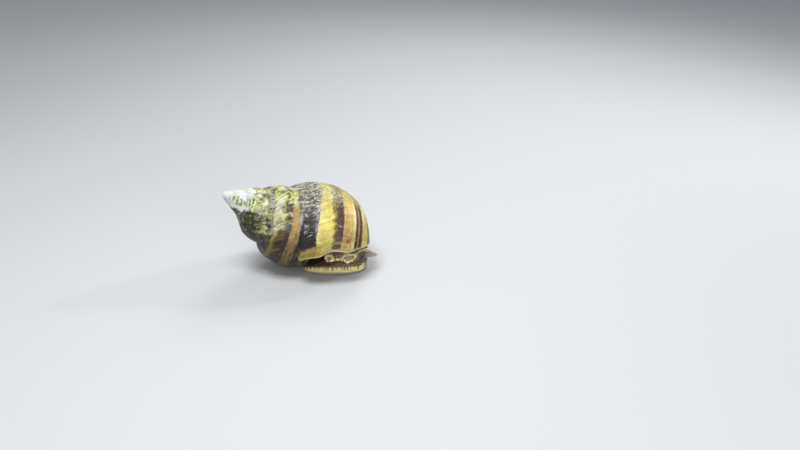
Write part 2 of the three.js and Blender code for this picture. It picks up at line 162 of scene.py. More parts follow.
class Nodes:
    """A short way to write a node tree."""

    def __init__(self, name):
        self.material = bpy.data.materials.new(name)
        self.material.use_nodes = True
        self.tree = self.material.node_tree
        self.tree.nodes.clear()
        output = self.tree.nodes.new("ShaderNodeOutputMaterial")
        self.shader = self.tree.nodes.new("ShaderNodeBsdfPrincipled")
        self.tree.links.new(self.shader.outputs[0], output.inputs[0])

    def add(self, kind, out=0, settings=None, **inputs):
        """A new node's output. Its inputs are named, or numbered as i0, i1 and so on."""
        node = self.tree.nodes.new("ShaderNode" + kind)
        for key, value in (settings or {}).items():
            setattr(node, key, value)
        for key, value in inputs.items():
            slot = int(key[1:]) if key[1:].isdigit() else key.replace("_", " ")
            self.put(node.inputs[slot], value)
        return node.outputs[out]

    def put(self, socket, value):
        if isinstance(value, bpy.types.NodeSocket):
            self.tree.links.new(value, socket)
        elif isinstance(value, tuple) and socket.type == "RGBA":
            socket.default_value = (*value, 1.0)
        else:
            socket.default_value = value

    def attribute(self, name):
        return self.add("Attribute", 2, {"attribute_name": name})

    def place(self):
        """The place on the object, in mm."""
        return self.add("Mapping", i0=self.add("TexCoord", 3), i3=(1 / MM, 1 / MM, 1 / MM))

    def maths(self, operation, a, b):
        return self.add("Math", 0, {"operation": operation}, i0=a, i1=b)

    def times(self, result, *others):
        for other in others:
            result = self.maths("MULTIPLY", result, other)
        return result

    def plus(self, result, *others):
        for other in others:
            result = self.maths("ADD", result, other)
        return result

    def weighted(self, *pairs):
        """The sum of values, each times its weight."""
        return self.plus(*[self.times(value, weight) for value, weight in pairs])

    def shaken(self, value, pattern, amount):
        """A value moved up and down by a pattern that lies about one half."""
        return self.plus(value, self.times(self.maths("SUBTRACT", pattern, 0.5), amount))

    def ramp(self, value, stops):
        node = self.tree.nodes.new("ShaderNodeValToRGB")
        elements = node.color_ramp.elements
        while len(elements) < len(stops):
            elements.new(1.0)
        for element, (place, colour) in zip(elements, stops):
            element.position = place
            element.color = (*colour, 1.0)
        self.put(node.inputs[0], value)
        return node.outputs[0]

    def range(self, value, low, high, to_low=0.0, to_high=1.0):
        settings = {"interpolation_type": "SMOOTHSTEP"}
        return self.add("MapRange", 0, settings, i0=value, i1=low, i2=high, i3=to_low, i4=to_high)

    def blend(self, factor, a, b, mode="MIX"):
        settings = {"data_type": "RGBA", "blend_type": mode}
        return self.add("Mix", 2, settings, i0=factor, i6=a, i7=b)

    def tinted(self, factor, colour, by):
        """A colour multiplied by another one, where factor is 1."""
        return self.blend(factor, colour, self.blend(1.0, colour, by, "MULTIPLY"))

    def covered(self, colour, **covers):
        """A colour with others laid over it, each where the mask of its name is 1."""
        for mask, cover in covers.items():
            colour = self.blend(self.attribute(mask), colour, cover)
        return colour

    def joined(self, x, y, z=0.0):
        return self.add("CombineXYZ", i0=x, i1=y, i2=z)

    def noise(self, where, scale, detail=4.0, rough=0.55, distort=0.0):
        amounts = {"Detail": detail, "Roughness": rough, "Distortion": distort}
        return self.add("TexNoise", Vector=where, Scale=scale, **amounts)

    def raised(self, height, distance, strength=1.0, under=None):
        inputs = {"Strength": strength, "Distance": distance, "Height": height}
        if under is not None:
            inputs["Normal"] = under
        return self.add("Bump", **inputs)

    def finish(self, colour, roughness, normal=None, **settings):
        self.put(self.shader.inputs["Base Color"], colour)
        self.put(self.shader.inputs["Roughness"], roughness)
        if normal is not None:
            self.put(self.shader.inputs["Normal"], normal)
        for key, value in settings.items():
            self.put(self.shader.inputs[key.replace("_", " ")], value)
        return self.material


# The shell's colours. Lists give a place on a pattern and the colour there.
DARK = (0.028, 0.025, 0.022)
YELLOW = (0.74, 0.64, 0.16)
OLIVE = (0.21, 0.155, 0.035)
PURPLE = (0.080, 0.040, 0.034)
TAN = (0.58, 0.38, 0.105)
GOLD = (0.70, 0.52, 0.15)
ROSY = (0.60, 0.42, 0.24)
PALE = (0.72, 0.62, 0.28)
BROWN = (0.088, 0.031, 0.018)
LILAC = (0.60, 0.56, 0.61)
RUBBED = [
    (0.42, (0.16, 0.155, 0.13)), (0.50, (0.34, 0.32, 0.29)), (0.56, (0.52, 0.50, 0.45)),
    (0.62, (0.62, 0.58, 0.60)),
]
LAST_ZONE = [
    (0.40, (0.13, 0.07, 0.020)), (0.48, (0.24, 0.17, 0.042)), (0.56, (0.37, 0.30, 0.085)),
    (0.63, (0.46, 0.36, 0.18)),
]
# Dark green dirt, near black where it stands in as painted shade
SOIL_AND_SHADE = [
    (0.41, (0.004, 0.006, 0.001)), (0.47, (0.012, 0.016, 0.004)), (0.515, (0.033, 0.040, 0.015)),
    (0.56, (0.10, 0.11, 0.055)), (0.62, (0.27, 0.28, 0.19)),
]
ALGAE = [
    (0.37, (0.030, 0.032, 0.016)), (0.41, (0.10, 0.10, 0.05)), (0.45, (0.24, 0.25, 0.12)),
    (0.495, (0.42, 0.44, 0.22)), (0.54, (0.63, 0.66, 0.34)), (0.58, (0.80, 0.81, 0.54)),
    (0.64, (0.86, 0.86, 0.78)),
]
ALGAE_HUES = [
    (0.42, (1.0, 0.97, 1.36)), (0.47, (1.0, 1.0, 1.18)), (0.52, (1.0, 1.0, 1.0)), (0.59, (0.97, 1.02, 0.58)),
]
CREAM = [(0.42, (0.26, 0.24, 0.14)), (0.50, (0.52, 0.50, 0.30)), (0.58, (0.74, 0.73, 0.52))]
CHALK = [
    (0.38, (0.74, 0.76, 0.66)), (0.48, (0.86, 0.87, 0.84)), (0.56, (0.84, 0.83, 0.88)),
    (0.66, (0.66, 0.62, 0.84)),
]

# The bands across a turn, as section angle in degrees and colour
BANDS = [
    (-60, DARK), (-18, DARK), (-16.6, PALE), (-15, YELLOW), (-3, YELLOW), (1, OLIVE), (4, OLIVE),
    (5, PURPLE), (15.2, PURPLE), (16.2, ROSY), (17.6, TAN), (26, GOLD), (29, TAN), (30.5, PALE),
    (34, PALE), (35, BROWN), (39.3, BROWN), (40.3, PALE), (41.3, BROWN), (46.5, BROWN), (48.5, YELLOW),
    (62, YELLOW), (64, BROWN), (69, BROWN), (72, PALE), (86, BROWN), (93, BROWN), (96, PALE),
    (112, BROWN), (121, PALE), (160, PALE),
]
BAND_LOW, BAND_HIGH = BANDS[0][0], BANDS[-1][0]


class ShellSkin(Nodes):
    """The shell's material. Each layer takes the colour under it and gives the colour with it."""

    def __init__(self):
        super().__init__("banded_shell")
        masks = "band", "growth", "old", "crown", "dirt_and_shade"
        self.band, self.growth, self.old, self.crown, self.dirt_and_shade = map(self.attribute, masks)
        self.spot = self.place()
        self.grain = self.noise(self.spot, 2.2, 6.0, 0.65)
        self.coarse = self.noise(self.spot, 0.55, 5.0, 0.6)
        self.speck = self.noise(self.spot, 4.5, 4.0, 0.7)
        self.lines = self.streaks(0.30, 0.010, 7.0, 0.7)
        self.cords = self.streaks(0.012, 0.42, 3.0)
        self.smear = self.streaks(0.05, 0.16, 6.0, 0.7)
        self.arcs = self.streaks(0.20, 0.035, 5.0, 0.58, 0.8)

        # Where each band's colour is looked up: its edges are ragged with each line of growth
        place = self.shaken(self.shaken(self.band, self.lines, 5.0), self.grain, 3.0)
        edge = self.times(self.range(place, -5.0, 1.0), self.range(place, 12.0, 6.0))
        torn = self.maths("SUBTRACT", self.streaks(0.13, 0.05, 4.0, 0.6), 0.52)
        self.band_place = self.plus(place, self.times(edge, torn, 34.0))
        self.dark_part = self.range(self.band_place, -19.0, -16.5, 1.0, 0.0)
        self.fringe = self.times(self.range(self.band_place, -24.0, -19.0), self.dark_part)

        # Scratches and flakes in the dark band, most on top
        scratch = self.streaks(0.34, 0.11, 8.0, 0.75, 1.4)
        flake = self.noise(self.spot, 0.9, 7.0, 0.72, 0.8)
        rubbed = self.maths("MAXIMUM", scratch, self.plus(flake, 0.01))
        rubbed = self.plus(rubbed, self.weighted((self.attribute("rubbed"), 0.115), (self.fringe, 0.03)))
        self.rubbed = self.times(self.range(rubbed, 0.59, 0.72), self.dark_part)

        # The cover of algae, and the parts worn bare to chalk
        self.blotch = self.noise(self.spot, 0.65, 5.0, 0.56, 0.6)
        film = self.shaken(self.attribute("algae"), self.blotch, 1.2)
        self.film = self.range(self.shaken(film, self.arcs, 0.9), 0.30, 0.60, 0.0, 0.95)
        self.bare = self.range(self.shaken(self.attribute("chalk"), self.grain, 1.3), 0.36, 0.58)

    def streaks(self, along, across, detail=5.0, rough=0.6, distort=0.0):
        """Noise with a scale of its own along the shell's spiral and across it."""
        where = self.joined(self.times(self.growth, along), self.times(self.band, across))
        return self.noise(where, 1.0, detail, rough, distort)

    def banded(self):
        """The bands with their lines, and brown smears and pale flecks on the light ones."""
        place = self.add("MapRange", i0=self.band_place, i1=BAND_LOW, i2=BAND_HIGH)
        colour = self.ramp(place, [((a - BAND_LOW) / (BAND_HIGH - BAND_LOW), c) for a, c in BANDS])
        tones = (self.lines, 0.80, 1.10), (self.cords, 0.94, 1.04), (self.coarse, 0.82, 1.12)
        for pattern, dark, light in tones:
            tone = self.range(pattern, 0.35, 0.65, dark, light)
            colour = self.tinted(1.0, colour, self.joined(tone, tone, tone))
        faded = self.ramp(self.smear, [(0.42, (0.30, 0.23, 0.06)), (0.56, (0.60, 0.44, 0.12))])
        colour = self.covered(colour, faded=faded)
        light_part = self.range(self.band_place, -17.0, -14.0)
        brown = self.times(self.range(self.smear, 0.50, 0.62), self.range(self.coarse, 0.40, 0.56))
        brown = self.times(brown, light_part)
        colour = self.tinted(self.times(brown, 0.85), colour, (0.46, 0.33, 0.24))
        fleck = self.times(self.range(self.speck, 0.58, 0.66), light_part, 0.55)
        return self.blend(fleck, colour, (0.84, 0.77, 0.42))

    def rubbed_grey(self, colour):
        """The dark band's horny skin is rubbed to grey and lilac."""
        grey = self.ramp(self.weighted((self.coarse, 0.5), (self.speck, 0.5)), RUBBED)
        grey = self.blend(self.times(self.fringe, 0.5), grey, LILAC)
        colour = self.blend(self.times(self.rubbed, 0.92), colour, grey)
        return self.covered(colour, seam=TAN)

    def aged(self, colour):
        """The older turns are stained darker and browner, with painted shade on their lower side, the oldest
        grey and pinkish.
        """
        colour = self.tinted(self.times(self.old, 0.9), colour, (0.66, 0.60, 0.64))
        stain_and_shade = self.attribute("stain_and_shade")
        colour = self.tinted(stain_and_shade, colour, (0.38, 0.34, 0.32))
        pale_line = self.times(self.range(self.lines, 0.56, 0.64), stain_and_shade, self.old, 0.55)
        colour = self.blend(pale_line, colour, (0.30, 0.27, 0.23))
        pink = [(0.40, (0.085, 0.075, 0.055)), (0.50, (0.22, 0.19, 0.16)), (0.60, (0.46, 0.41, 0.38))]
        return self.blend(self.range(self.old, 0.86, 1.0), colour, self.ramp(self.grain, pink))

    def last_grown(self, colour):
        """Yellow spots on the crown, an orange and yellow last zone, and a cream edge at the lip."""
        spots = self.range(self.noise(self.spot, 1.7, 3.0, 0.5), 0.54, 0.60)
        spots = self.times(spots, self.crown, self.range(self.band_place, -20.0, -14.0), 0.85)
        colour = self.blend(spots, colour, (0.62, 0.55, 0.20))
        zone = self.ramp(self.weighted((self.lines, 0.6), (self.cords, 0.4)), LAST_ZONE)
        return self.covered(colour, last_zone=zone, lip_edge=(0.62, 0.60, 0.34))

    def soiled_and_shaded(self, colour):
        """Dark green dirt and painted shade on the lower side of the older turns."""
        lumps = self.noise(self.spot, 0.75, 4.0, 0.52, 0.5)
        drift = self.streaks(0.10, 0.045, 4.0, 0.52, 0.8)
        mud = self.weighted((lumps, 0.5), (self.smear, 0.20), (drift, 0.30))
        cover = self.range(self.shaken(self.dirt_and_shade, self.smear, 1.6), 0.30, 0.62, 0.0, 0.94)
        return self.blend(cover, colour, self.ramp(mud, SOIL_AND_SHADE))

    def overgrown(self, colour):
        """Algae on the upper side: olive and lime over the light bands, grey and lilac over the dark."""
        place = self.band_place
        light_band = self.times(self.range(place, -21.0, -14.0), self.range(place, 8.0, 2.0))
        light_band = self.maths("MAXIMUM", light_band, self.range(place, 14.0, 20.0, 0.0, 0.8))
        tint = self.weighted((self.blotch, 0.52), (self.grain, 0.14), (self.arcs, 0.34))
        green = self.ramp(self.shaken(tint, light_band, 0.045), ALGAE)
        fresh = self.blend(self.crown, (0.76, 0.74, 0.69), (0.85, 0.84, 0.66))
        green = self.tinted(1.0, green, self.blend(self.range(self.old, 0.86, 1.0), fresh, (1.0, 1.0, 1.0)))
        hue = self.ramp(self.noise(self.spot, 0.62, 4.0, 0.6, 0.5), ALGAE_HUES)
        hue = self.blend(self.range(self.old, 0.0, 0.6), (0.88, 0.88, 0.80), hue)
        return self.blend(self.film, colour, self.tinted(1.0, green, hue))

    def speckled(self, colour):
        """The crown is speckled, pale and sooty on the dark band and olive on the light ones."""
        pattern = self.weighted((self.grain, 0.6), (self.arcs, 0.4))
        pale = self.times(self.range(pattern, 0.50, 0.57), self.crown, self.dark_part)
        pale = self.times(pale, self.range(self.old, 0.5, 0.0, 0.0, 0.75))
        colour = self.blend(pale, colour, (0.80, 0.76, 0.66))
        olive = self.ramp(self.speck, [(0.38, (0.14, 0.13, 0.04)), (0.62, (0.46, 0.42, 0.17))])
        speckle = self.times(self.range(pattern, 0.57, 0.44), self.crown)
        speckle = self.times(speckle, self.range(self.old, 0.5, 0.0, 0.15, 0.85))
        return self.blend(speckle, colour, self.blend(self.dark_part, olive, (0.10, 0.09, 0.06)))

    def marked(self, colour):
        """The cream shell past the old scar, the pale marks and painted glints, and the dark marks."""
        even = self.weighted((self.grain, 0.5), (self.arcs, 0.5))
        colour = self.covered(colour, cream=self.ramp(even, CREAM))
        broken = self.times(self.range(even, 0.43, 0.54), self.attribute("pale_mark_and_glint"))
        return self.covered(self.blend(broken, colour, LILAC), dark_mark=BROWN)

    def worn(self, colour):
        """The oldest turns are worn to white chalk with a touch of lilac, lime along the ridge."""
        white = self.ramp(self.coarse, CHALK)
        white = self.blend(self.range(self.speck, 0.62, 0.50, 0.0, 0.30), white, (0.42, 0.44, 0.36))
        white = self.covered(white, tip_end=(0.40, 0.38, 0.80))
        ridge = self.times(self.attribute("tip_ridge"), self.range(self.grain, 0.42, 0.54, 0.35, 1.0))
        colour = self.blend(self.bare, colour, self.blend(ridge, white, (0.70, 0.74, 0.24)))
        streak = self.range(self.streaks(0.035, 0.10, 6.0, 0.7), 0.45, 0.53)
        streak = self.times(streak, self.attribute("green"))
        green = self.ramp(self.grain, [(0.40, (0.08, 0.12, 0.015)), (0.60, (0.44, 0.54, 0.13))])
        return self.blend(streak, colour, green)

    def surface(self):
        """Roughness and normal: growth lines and scratches, and pits in what covers the shell."""
        height = self.weighted((self.lines, 0.6), (self.cords, 0.15), (self.rubbed, 0.25))
        crust = self.maths("MAXIMUM", self.film, self.bare)
        crust = self.maths("MAXIMUM", crust, self.times(self.dirt_and_shade, 0.5))
        pits = self.times(self.plus(self.grain, self.speck), self.plus(crust, 0.10))
        normal = self.raised(pits, 0.00028, 0.7, self.raised(height, 0.00030, 0.7))
        rough = self.plus(self.range(self.grain, 0.3, 0.7, 0.30, 0.48), self.times(crust, 0.30))
        return rough, normal


def shell_material():
    n = ShellSkin()
    colour = n.banded()
    for layer in (
        n.rubbed_grey, n.aged, n.last_grown, n.soiled_and_shaded, n.overgrown, n.speckled, n.marked, n.worn,
    ):
        colour = layer(colour)
    rough, normal = n.surface()
    return n.finish(
        colour, rough, normal, Specular_IOR_Level=0.25,
        Coat_Weight=0.20, Coat_Roughness=0.14, Coat_Normal=normal,
    )


def inner_shell_material():
    n = Nodes("shell_inside")
    cloud = n.noise(n.place(), 0.6, 4.0)
    colour = n.ramp(cloud, [(0.3, (0.56, 0.50, 0.42)), (0.7, (0.78, 0.74, 0.66))])
    colour = n.covered(colour, rim=(0.42, 0.40, 0.22))
    return n.finish(colour, 0.3, n.raised(cloud, 0.0002, 0.2), Coat_Weight=0.3)


# The shell


def section(angle, u, grow=0.0):
    """Radius and depth of the tube's oval at growth angle and section angle, both in degrees."""
    size = GROWTH ** (angle / 360.0)
    x = (HALF_WIDTH * size + grow) * np.cos(np.radians(u))
    y = (HALF_HEIGHT * size + grow) * np.sin(np.radians(u))
    radius = CENTRE_RADIUS * size + x * np.cos(LEAN) - y * np.sin(LEAN)
    depth = CENTRE_DEPTH * size + x * np.sin(LEAN) + y * np.cos(LEAN)
    return radius, depth


def in_shell(radius, depth, angle):
    turn = np.radians(angle)
    return (
        SHELL_TIP
        + depth[..., None] * AXIS
        + (radius * np.cos(turn))[..., None] * NEAR
        + (radius * np.sin(turn))[..., None] * UNDER
    )


def mouth_angles(u):
    """The growth angle at which each line along the tube meets the plane of the mouth."""
    angles = np.linspace(-60, 60, 1201)
    found = []
    for value in u:
        points = in_shell(*section(angles, np.full_like(angles, value)), angles)
        above = (points - MOUTH_POINT) @ MOUTH_NORMAL
        cross = np.where((above[:-1] > 0) & (above[1:] <= 0))[0]
        found.append(angles[cross[0]] if len(cross) else np.nan)
    return np.array(found)


LIP_U = np.arange(CORNER, 146.0, 2.0)
LIP_ANGLE = mouth_angles(LIP_U)


def lip_angle(u):
    return np.interp(u, LIP_U, LIP_ANGLE)


# How far the lip's edge runs ahead of the plane of the mouth, as section angle and growth angle
LIP_WAVE = np.array([
    (-32, -0.6), (-28, -1.8), (-24, -2.4), (-16, -1.6), (-8, -0.5), (-4, -1.4), (0, -2.9), (4, -3.8),
    (8, -3.1), (12, -2.2), (16, -1.2), (20, 0), (24, 1.4), (28, 1.9), (32, 2.1), (40, 1.6), (48, 1.4),
    (56, 1.5), (64, 0.6), (72, 0),
])


def lip_wave(growth, u):
    return np.interp(u, LIP_WAVE[:, 0], LIP_WAVE[:, 1]) * rise(growth, -30, -1)


def turn_before(angle, depth):
    """Radius of the turn before, where its outside lies at that depth."""
    u = np.linspace(-40, 110, 600)
    radius, d = section(-360.0, u)
    size = GROWTH ** (angle / 360.0)
    return size * np.interp(depth / size, d, radius)


SHOULDER, LIP_SHOULDER = 12.0, 5.0  # degrees of the section that round the shoulder below the seam
SEAT = 0.25  # mm that a turn's upper edge sinks into the turn before


def shell_profile(growth, t, grow=0.0):
    """Angle, radius, depth and section angle for growth (0 at the lip) and t, 0 to 1 from seam to axis."""
    slide = rise(growth, -62, -4)
    top = mix(UPPER_SEAM - 1.0, CORNER, slide)
    u = mix(top, PILLAR, t)
    angle = growth + lip_angle(np.maximum(u, CORNER)) + lip_wave(growth, u)
    radius, depth = section(angle, u, grow)
    k = np.clip(1 - (u - top) / mix(SHOULDER, LIP_SHOULDER, slide), 0, 1)
    top_radius, top_depth = section(angle, top, grow)
    seat = turn_before(angle, top_depth) - SEAT
    ledge = np.maximum(top_radius - seat, 0)
    radius = radius - ledge * k**3
    return angle, radius, depth, u


# The outline that the worn tip follows, in radius and depth about a raised axis
WEAR_DEPTH = np.array([4.15, 4.35, 4.9, 9.2, 14.5, 60.0])
WEAR_RADIUS = np.array([0.0, 0.55, 0.95, 3.7, 10.0, 60.0])
WEAR_LIFT = 1.4


def wear(points, layer):
    """Points outside the worn cone are drawn in to it. Returns them and how much each moved."""
    q = points - SHELL_TIP + UNDER * WEAR_LIFT
    depth = q @ AXIS
    out = q - depth[..., None] * AXIS
    radius = np.linalg.norm(out, axis=-1) + 1e-9
    rough = 0.10 * noise(points, 0.9, 5, 3)
    limit = np.interp(depth, WEAR_DEPTH, WEAR_RADIUS) + rough - layer
    limit = np.maximum(limit, 0.02)
    over = np.maximum(radius - limit, 0)
    scale = np.where(over > 0, limit / radius, 1.0)
    depth = np.maximum(depth, WEAR_DEPTH[0] + 0.05)
    moved = SHELL_TIP - UNDER * WEAR_LIFT + depth[..., None] * AXIS + out * scale[..., None]
    return moved, over


# Old lips and cracks: growth angle and height in mm. The big one crosses the turn before the last.
BIG_SCAR = -384.0
SCARS = [
    (-14.0, 0.05), (-37.0, 0.09), (-55.0, 0.10), (-96.0, 0.05), (-150.0, 0.05), (-230.0, 0.06),
    (-300.0, 0.05), (BIG_SCAR, 0.16), (-420.0, 0.06), (-520.0, 0.06), (-640.0, 0.06), (-759.0, 0.08),
    (-860.0, 0.05),
]
# Distinct marks: growth angle, section angle and how far each reaches. The first is a dent too.
DARK_MARKS = [
    (-465.0, -30.0, 3.0, 4.0), (-389.0, -2.0, 3.0, 4.0), (-10.0, 24.0, 1.6, 2.0), (-824.0, -26.0, 8.0, 3.0),
]
# Pale marks: a lilac patch on the turn before the last, and four painted glints on the last turn's dark band
PALE_MARKS_AND_GLINTS = [
    (-440.0, -37.0, 24.0, 5.5), (-47.0, -34.0, 2.0, 2.6), (-40.0, -18.0, 2.6, 1.6), (-32.7, -26.0, 0.8, 2.0),
    (-33.0, -17.0, 0.8, 1.4),
]
DENT = 0.22
LINE_SLANT = 0.26  # degrees of growth that a growth line gains on the lip for each section degree
CORDS = 34  # faint spiral cords all round the section
SWELLING = 0.5  # the turn before the last bulges below its seam, on its right and underside

# The coil's surface: growth angles along it, finer near the lip, and places from seam to axis
ALONG = np.concatenate([np.arange(-1500.0, -60, 1.6), np.linspace(-60, 0, 62)])
ACROSS = np.linspace(0, 1, 150) ** 0.93
FLOOR_GAP = 0.03
WALL_AT_LIP, WALL_GAIN = 0.16, 0.6  # mm of thickness at the lip, and how much more there is inside
CORE_ROWS, CORE_AROUND = 34, 72
CORE_CAP = 0.2  # the share of the rows that close the core's end
CORE_LENGTH, CORE_WIDEST = 5.5, 6.4  # how long it is, and at what depth it is widest
CORE_SLOPE, CORE_TAPER = 0.45, 0.8  # mm that it widens and then narrows in each mm of depth


def marks(growth, u, places):
    return np.max([bell(growth, g, dg) * bell(u, v, du) for g, v, dg, du in places], axis=0)


def scar_slant(u):
    """How far the big scar across the turn before the last runs ahead on its lower side."""
    return 0.5 * np.clip(u + 12, 0, 60)


def levelled(growth, u):
    """Growth as its lines run: they slant less than the lip on the last turn."""
    return growth - LINE_SLANT * np.clip(u, -60, 70) * window(-growth, 4, 24, 150, 260)


def shell_relief(growth, u, points):
    """Height in mm of growth ridges, old lips and faint spiral cords."""
    flat = growth * 0
    lines = levelled(growth, u)
    relief = 0.018 * noise(np.stack([lines / 2.2, u / 60, flat], -1), 1.0, 3, 3)
    relief += 0.030 * noise(np.stack([lines / 9.0, u / 80, flat], -1), 1.0, 8, 2)
    relief += 0.008 * np.sin(np.radians(u) * CORDS + noise(points, 4.0, 9, 2))
    relief += 0.05 * noise(points, 5.0, 12, 2)
    for place, height in SCARS:
        start = place + 2.5 * noise(np.stack([u / 25, flat, flat], -1), 1.0, int(-place), 2)
        if place == BIG_SCAR:
            start = start + scar_slant(u)
        relief += height * fall(growth - start, 0.0, 2.6) * rise(growth - start, -16, 0)
    relief -= DENT * marks(growth, u, DARK_MARKS[:1])
    return relief + SWELLING * bell(growth, -310, 55) * bell(u, -26, 22)


# Masks of the shell's colours. Turns are counted back from the lip, so the last one is the first.


def shell_places(growth, angle, u, points, over):
    """What the masks are worked out from, at each of the shell's points."""
    centre = SHELL_TIP + ((points - SHELL_TIP) @ AXIS)[..., None] * AXIS
    facing = points - centre
    facing /= np.linalg.norm(facing, axis=-1)[..., None] + 1e-9
    turns = np.clip(-angle / 360.0, 0, 3)
    p = SimpleNamespace(growth=growth, back=-growth, u=u, over=over, sky=facing[..., 2], turns=turns)
    p.depth = (points - SHELL_TIP) @ AXIS
    p.patch = noise(points, 2.4, 21, 4)
    p.ragged = noise(points, 1.0, 22, 3)
    p.level = p.sky - 0.11 * rise(turns, 1.3, 1.7)
    p.second = window(turns, 0.6, 0.85, 1.35, 1.6)
    p.third = window(turns, 1.6, 1.85, 2.2, 2.4) * rise(u + 6 * p.ragged, -8, 2)
    p.from_scar = growth - BIG_SCAR - scar_slant(u)
    p.past_scar = p.second * rise(p.from_scar + 2 * p.ragged, -1.0, 1.5)
    return p


def algae_cover(p):
    """Algae grow on the upper side, thinly on the last turn and thickly along its upper seam."""
    age = np.clip((p.back - 80) / 260, 0, 1)
    algae = rise(p.level + 0.20 * p.patch + 0.10 * p.ragged, 0.08, 0.32) * (0.10 + 0.70 * age**0.7)
    seam = bell(p.u, -47, 9 + 9 * rise(p.sky, 0.75, 0.95)) * rise(p.sky, 0.25, 0.6)
    top = rise(p.sky + 0.1 * p.ragged, 0.80, 0.95) * fall(p.u, -6, 4)
    algae = np.maximum(algae, 0.72 * np.maximum(seam, 0.8 * top) * rise(p.back, 35, 70))
    # On the second turn they are thin past the scar, on the tan band and on the purple one
    on_tan = p.second * window(p.u, 6, 9, 22, 26) * fall(p.sky + 0.08 * p.ragged, 0.62, 0.76)
    on_purple = p.second * window(p.u, -10, -6, 6, 9)
    algae = algae * (1 - 0.75 * p.past_scar) * (1 - 0.68 * on_tan) * (1 - 0.45 * on_purple)
    low_second = p.past_scar * fall(p.u, -30, -14) * rise(p.sky, -0.55, -0.25)
    before_scar = (p.second - p.past_scar) * fall(p.u, -34, -26) * rise(p.sky, -0.05, 0.12)
    low_third = p.third * rise(p.sky, -0.7, -0.2)
    return np.max([algae, 0.38 * low_second, 0.50 * before_scar, 0.42 * low_third], axis=0)


def chalk_cover(p):
    """The old tip is worn to chalk, most on its upper side."""
    up = p.sky + 0.2 * p.patch
    layers = [
        rise(-p.depth + 1.6 * p.patch, -12.5, -8.5) * rise(up, 0.0, 0.35),
        rise(-p.depth + 0.8 * p.patch, -8.2, -6.6) * rise(up, -0.4, 0.0),
        0.85 * rise(p.over, 0.15, 0.5) * rise(p.sky, -0.2, 0.2),
    ]
    return np.max(layers, axis=0)


def dirt_and_shade_cover(p):
    """Dirt and painted shade on the underside, thick on the old turns."""
    under = fall(p.level + 0.16 * p.patch + 0.06 * p.ragged, 0.08, 0.30)
    dirt_and_shade = 0.50 * rise(p.turns, 0.55, 0.9) + 0.45 * rise(p.turns, 1.5, 1.8)
    dirt_and_shade = dirt_and_shade + p.second * (0.40 * fall(p.u, -33, -20) - 0.20 * window(p.u, -30, -18, 18, 26))
    dirt_and_shade = dirt_and_shade * (1 - 0.45 * rise(p.turns, 2.5, 2.8)) * (1 - 0.45 * p.third)
    return np.clip(under * np.maximum(dirt_and_shade, 0.30 * rise(p.back, 60, 160)), 0, 1)


def stain_and_shade_cover(p):
    """Painted shade below the older turns' middle, brown darkening near the lip, most on the lower bands, and
    a mauve stain along a band of the second turn.
    """
    # Painted shade: darker where the older turns face down
    older = rise(p.turns, 0.5, 0.8) * fall(p.sky + 0.2 * p.patch, -0.6, 0.30)
    uneven = 0.52 + 0.45 * rise(p.patch, 0.15, 0.5) * rise(p.u, 4, 10)
    near_lip = uneven * rise(p.growth + 4 * p.patch, -34, -8)
    mauve = 0.75 * p.second * bell(p.u + 2 * p.ragged, -11, 5.5) * fall(p.sky, 0.0, 0.25)
    return np.clip(older + near_lip + mauve, 0, 1)


def last_zone(p):
    """The shell grown last: broad by the upper seam, narrow along the lip, and a gap in a band."""
    broad = rise(p.growth + 1.2 * p.ragged, -15.0, -13.4) * fall(p.u, -14, -1)
    narrow = 0.9 * rise(p.growth + 1.0 * p.ragged, -3.4, -1.8) * fall(p.u, 30, 40)
    gap = 0.8 * bell(p.growth, -9.0, 1.3) * window(p.u, 2, 5, 16, 20)
    return np.max([broad, narrow, gap], axis=0)


def band_angle(p):
    """The section angle whose band colour each point has: bands narrow and shift with growth."""
    narrowed = 3.0 * rise(p.growth, -24, -12) * fall(p.u, -14, -2)
    narrowed = narrowed + 7.0 * window(p.back, 62, 92, 200, 300)
    narrowed = narrowed + 4.0 * rise(p.growth, -50, -18) * bell(p.u, 3, 6)
    shifted = (13.0 - 4.5 * rise(p.u, -14, 4)) * rise(p.back, 200, 330)
    return p.u - narrowed + shifted + 3.0 * p.past_scar * bell(p.u, -13, 6)


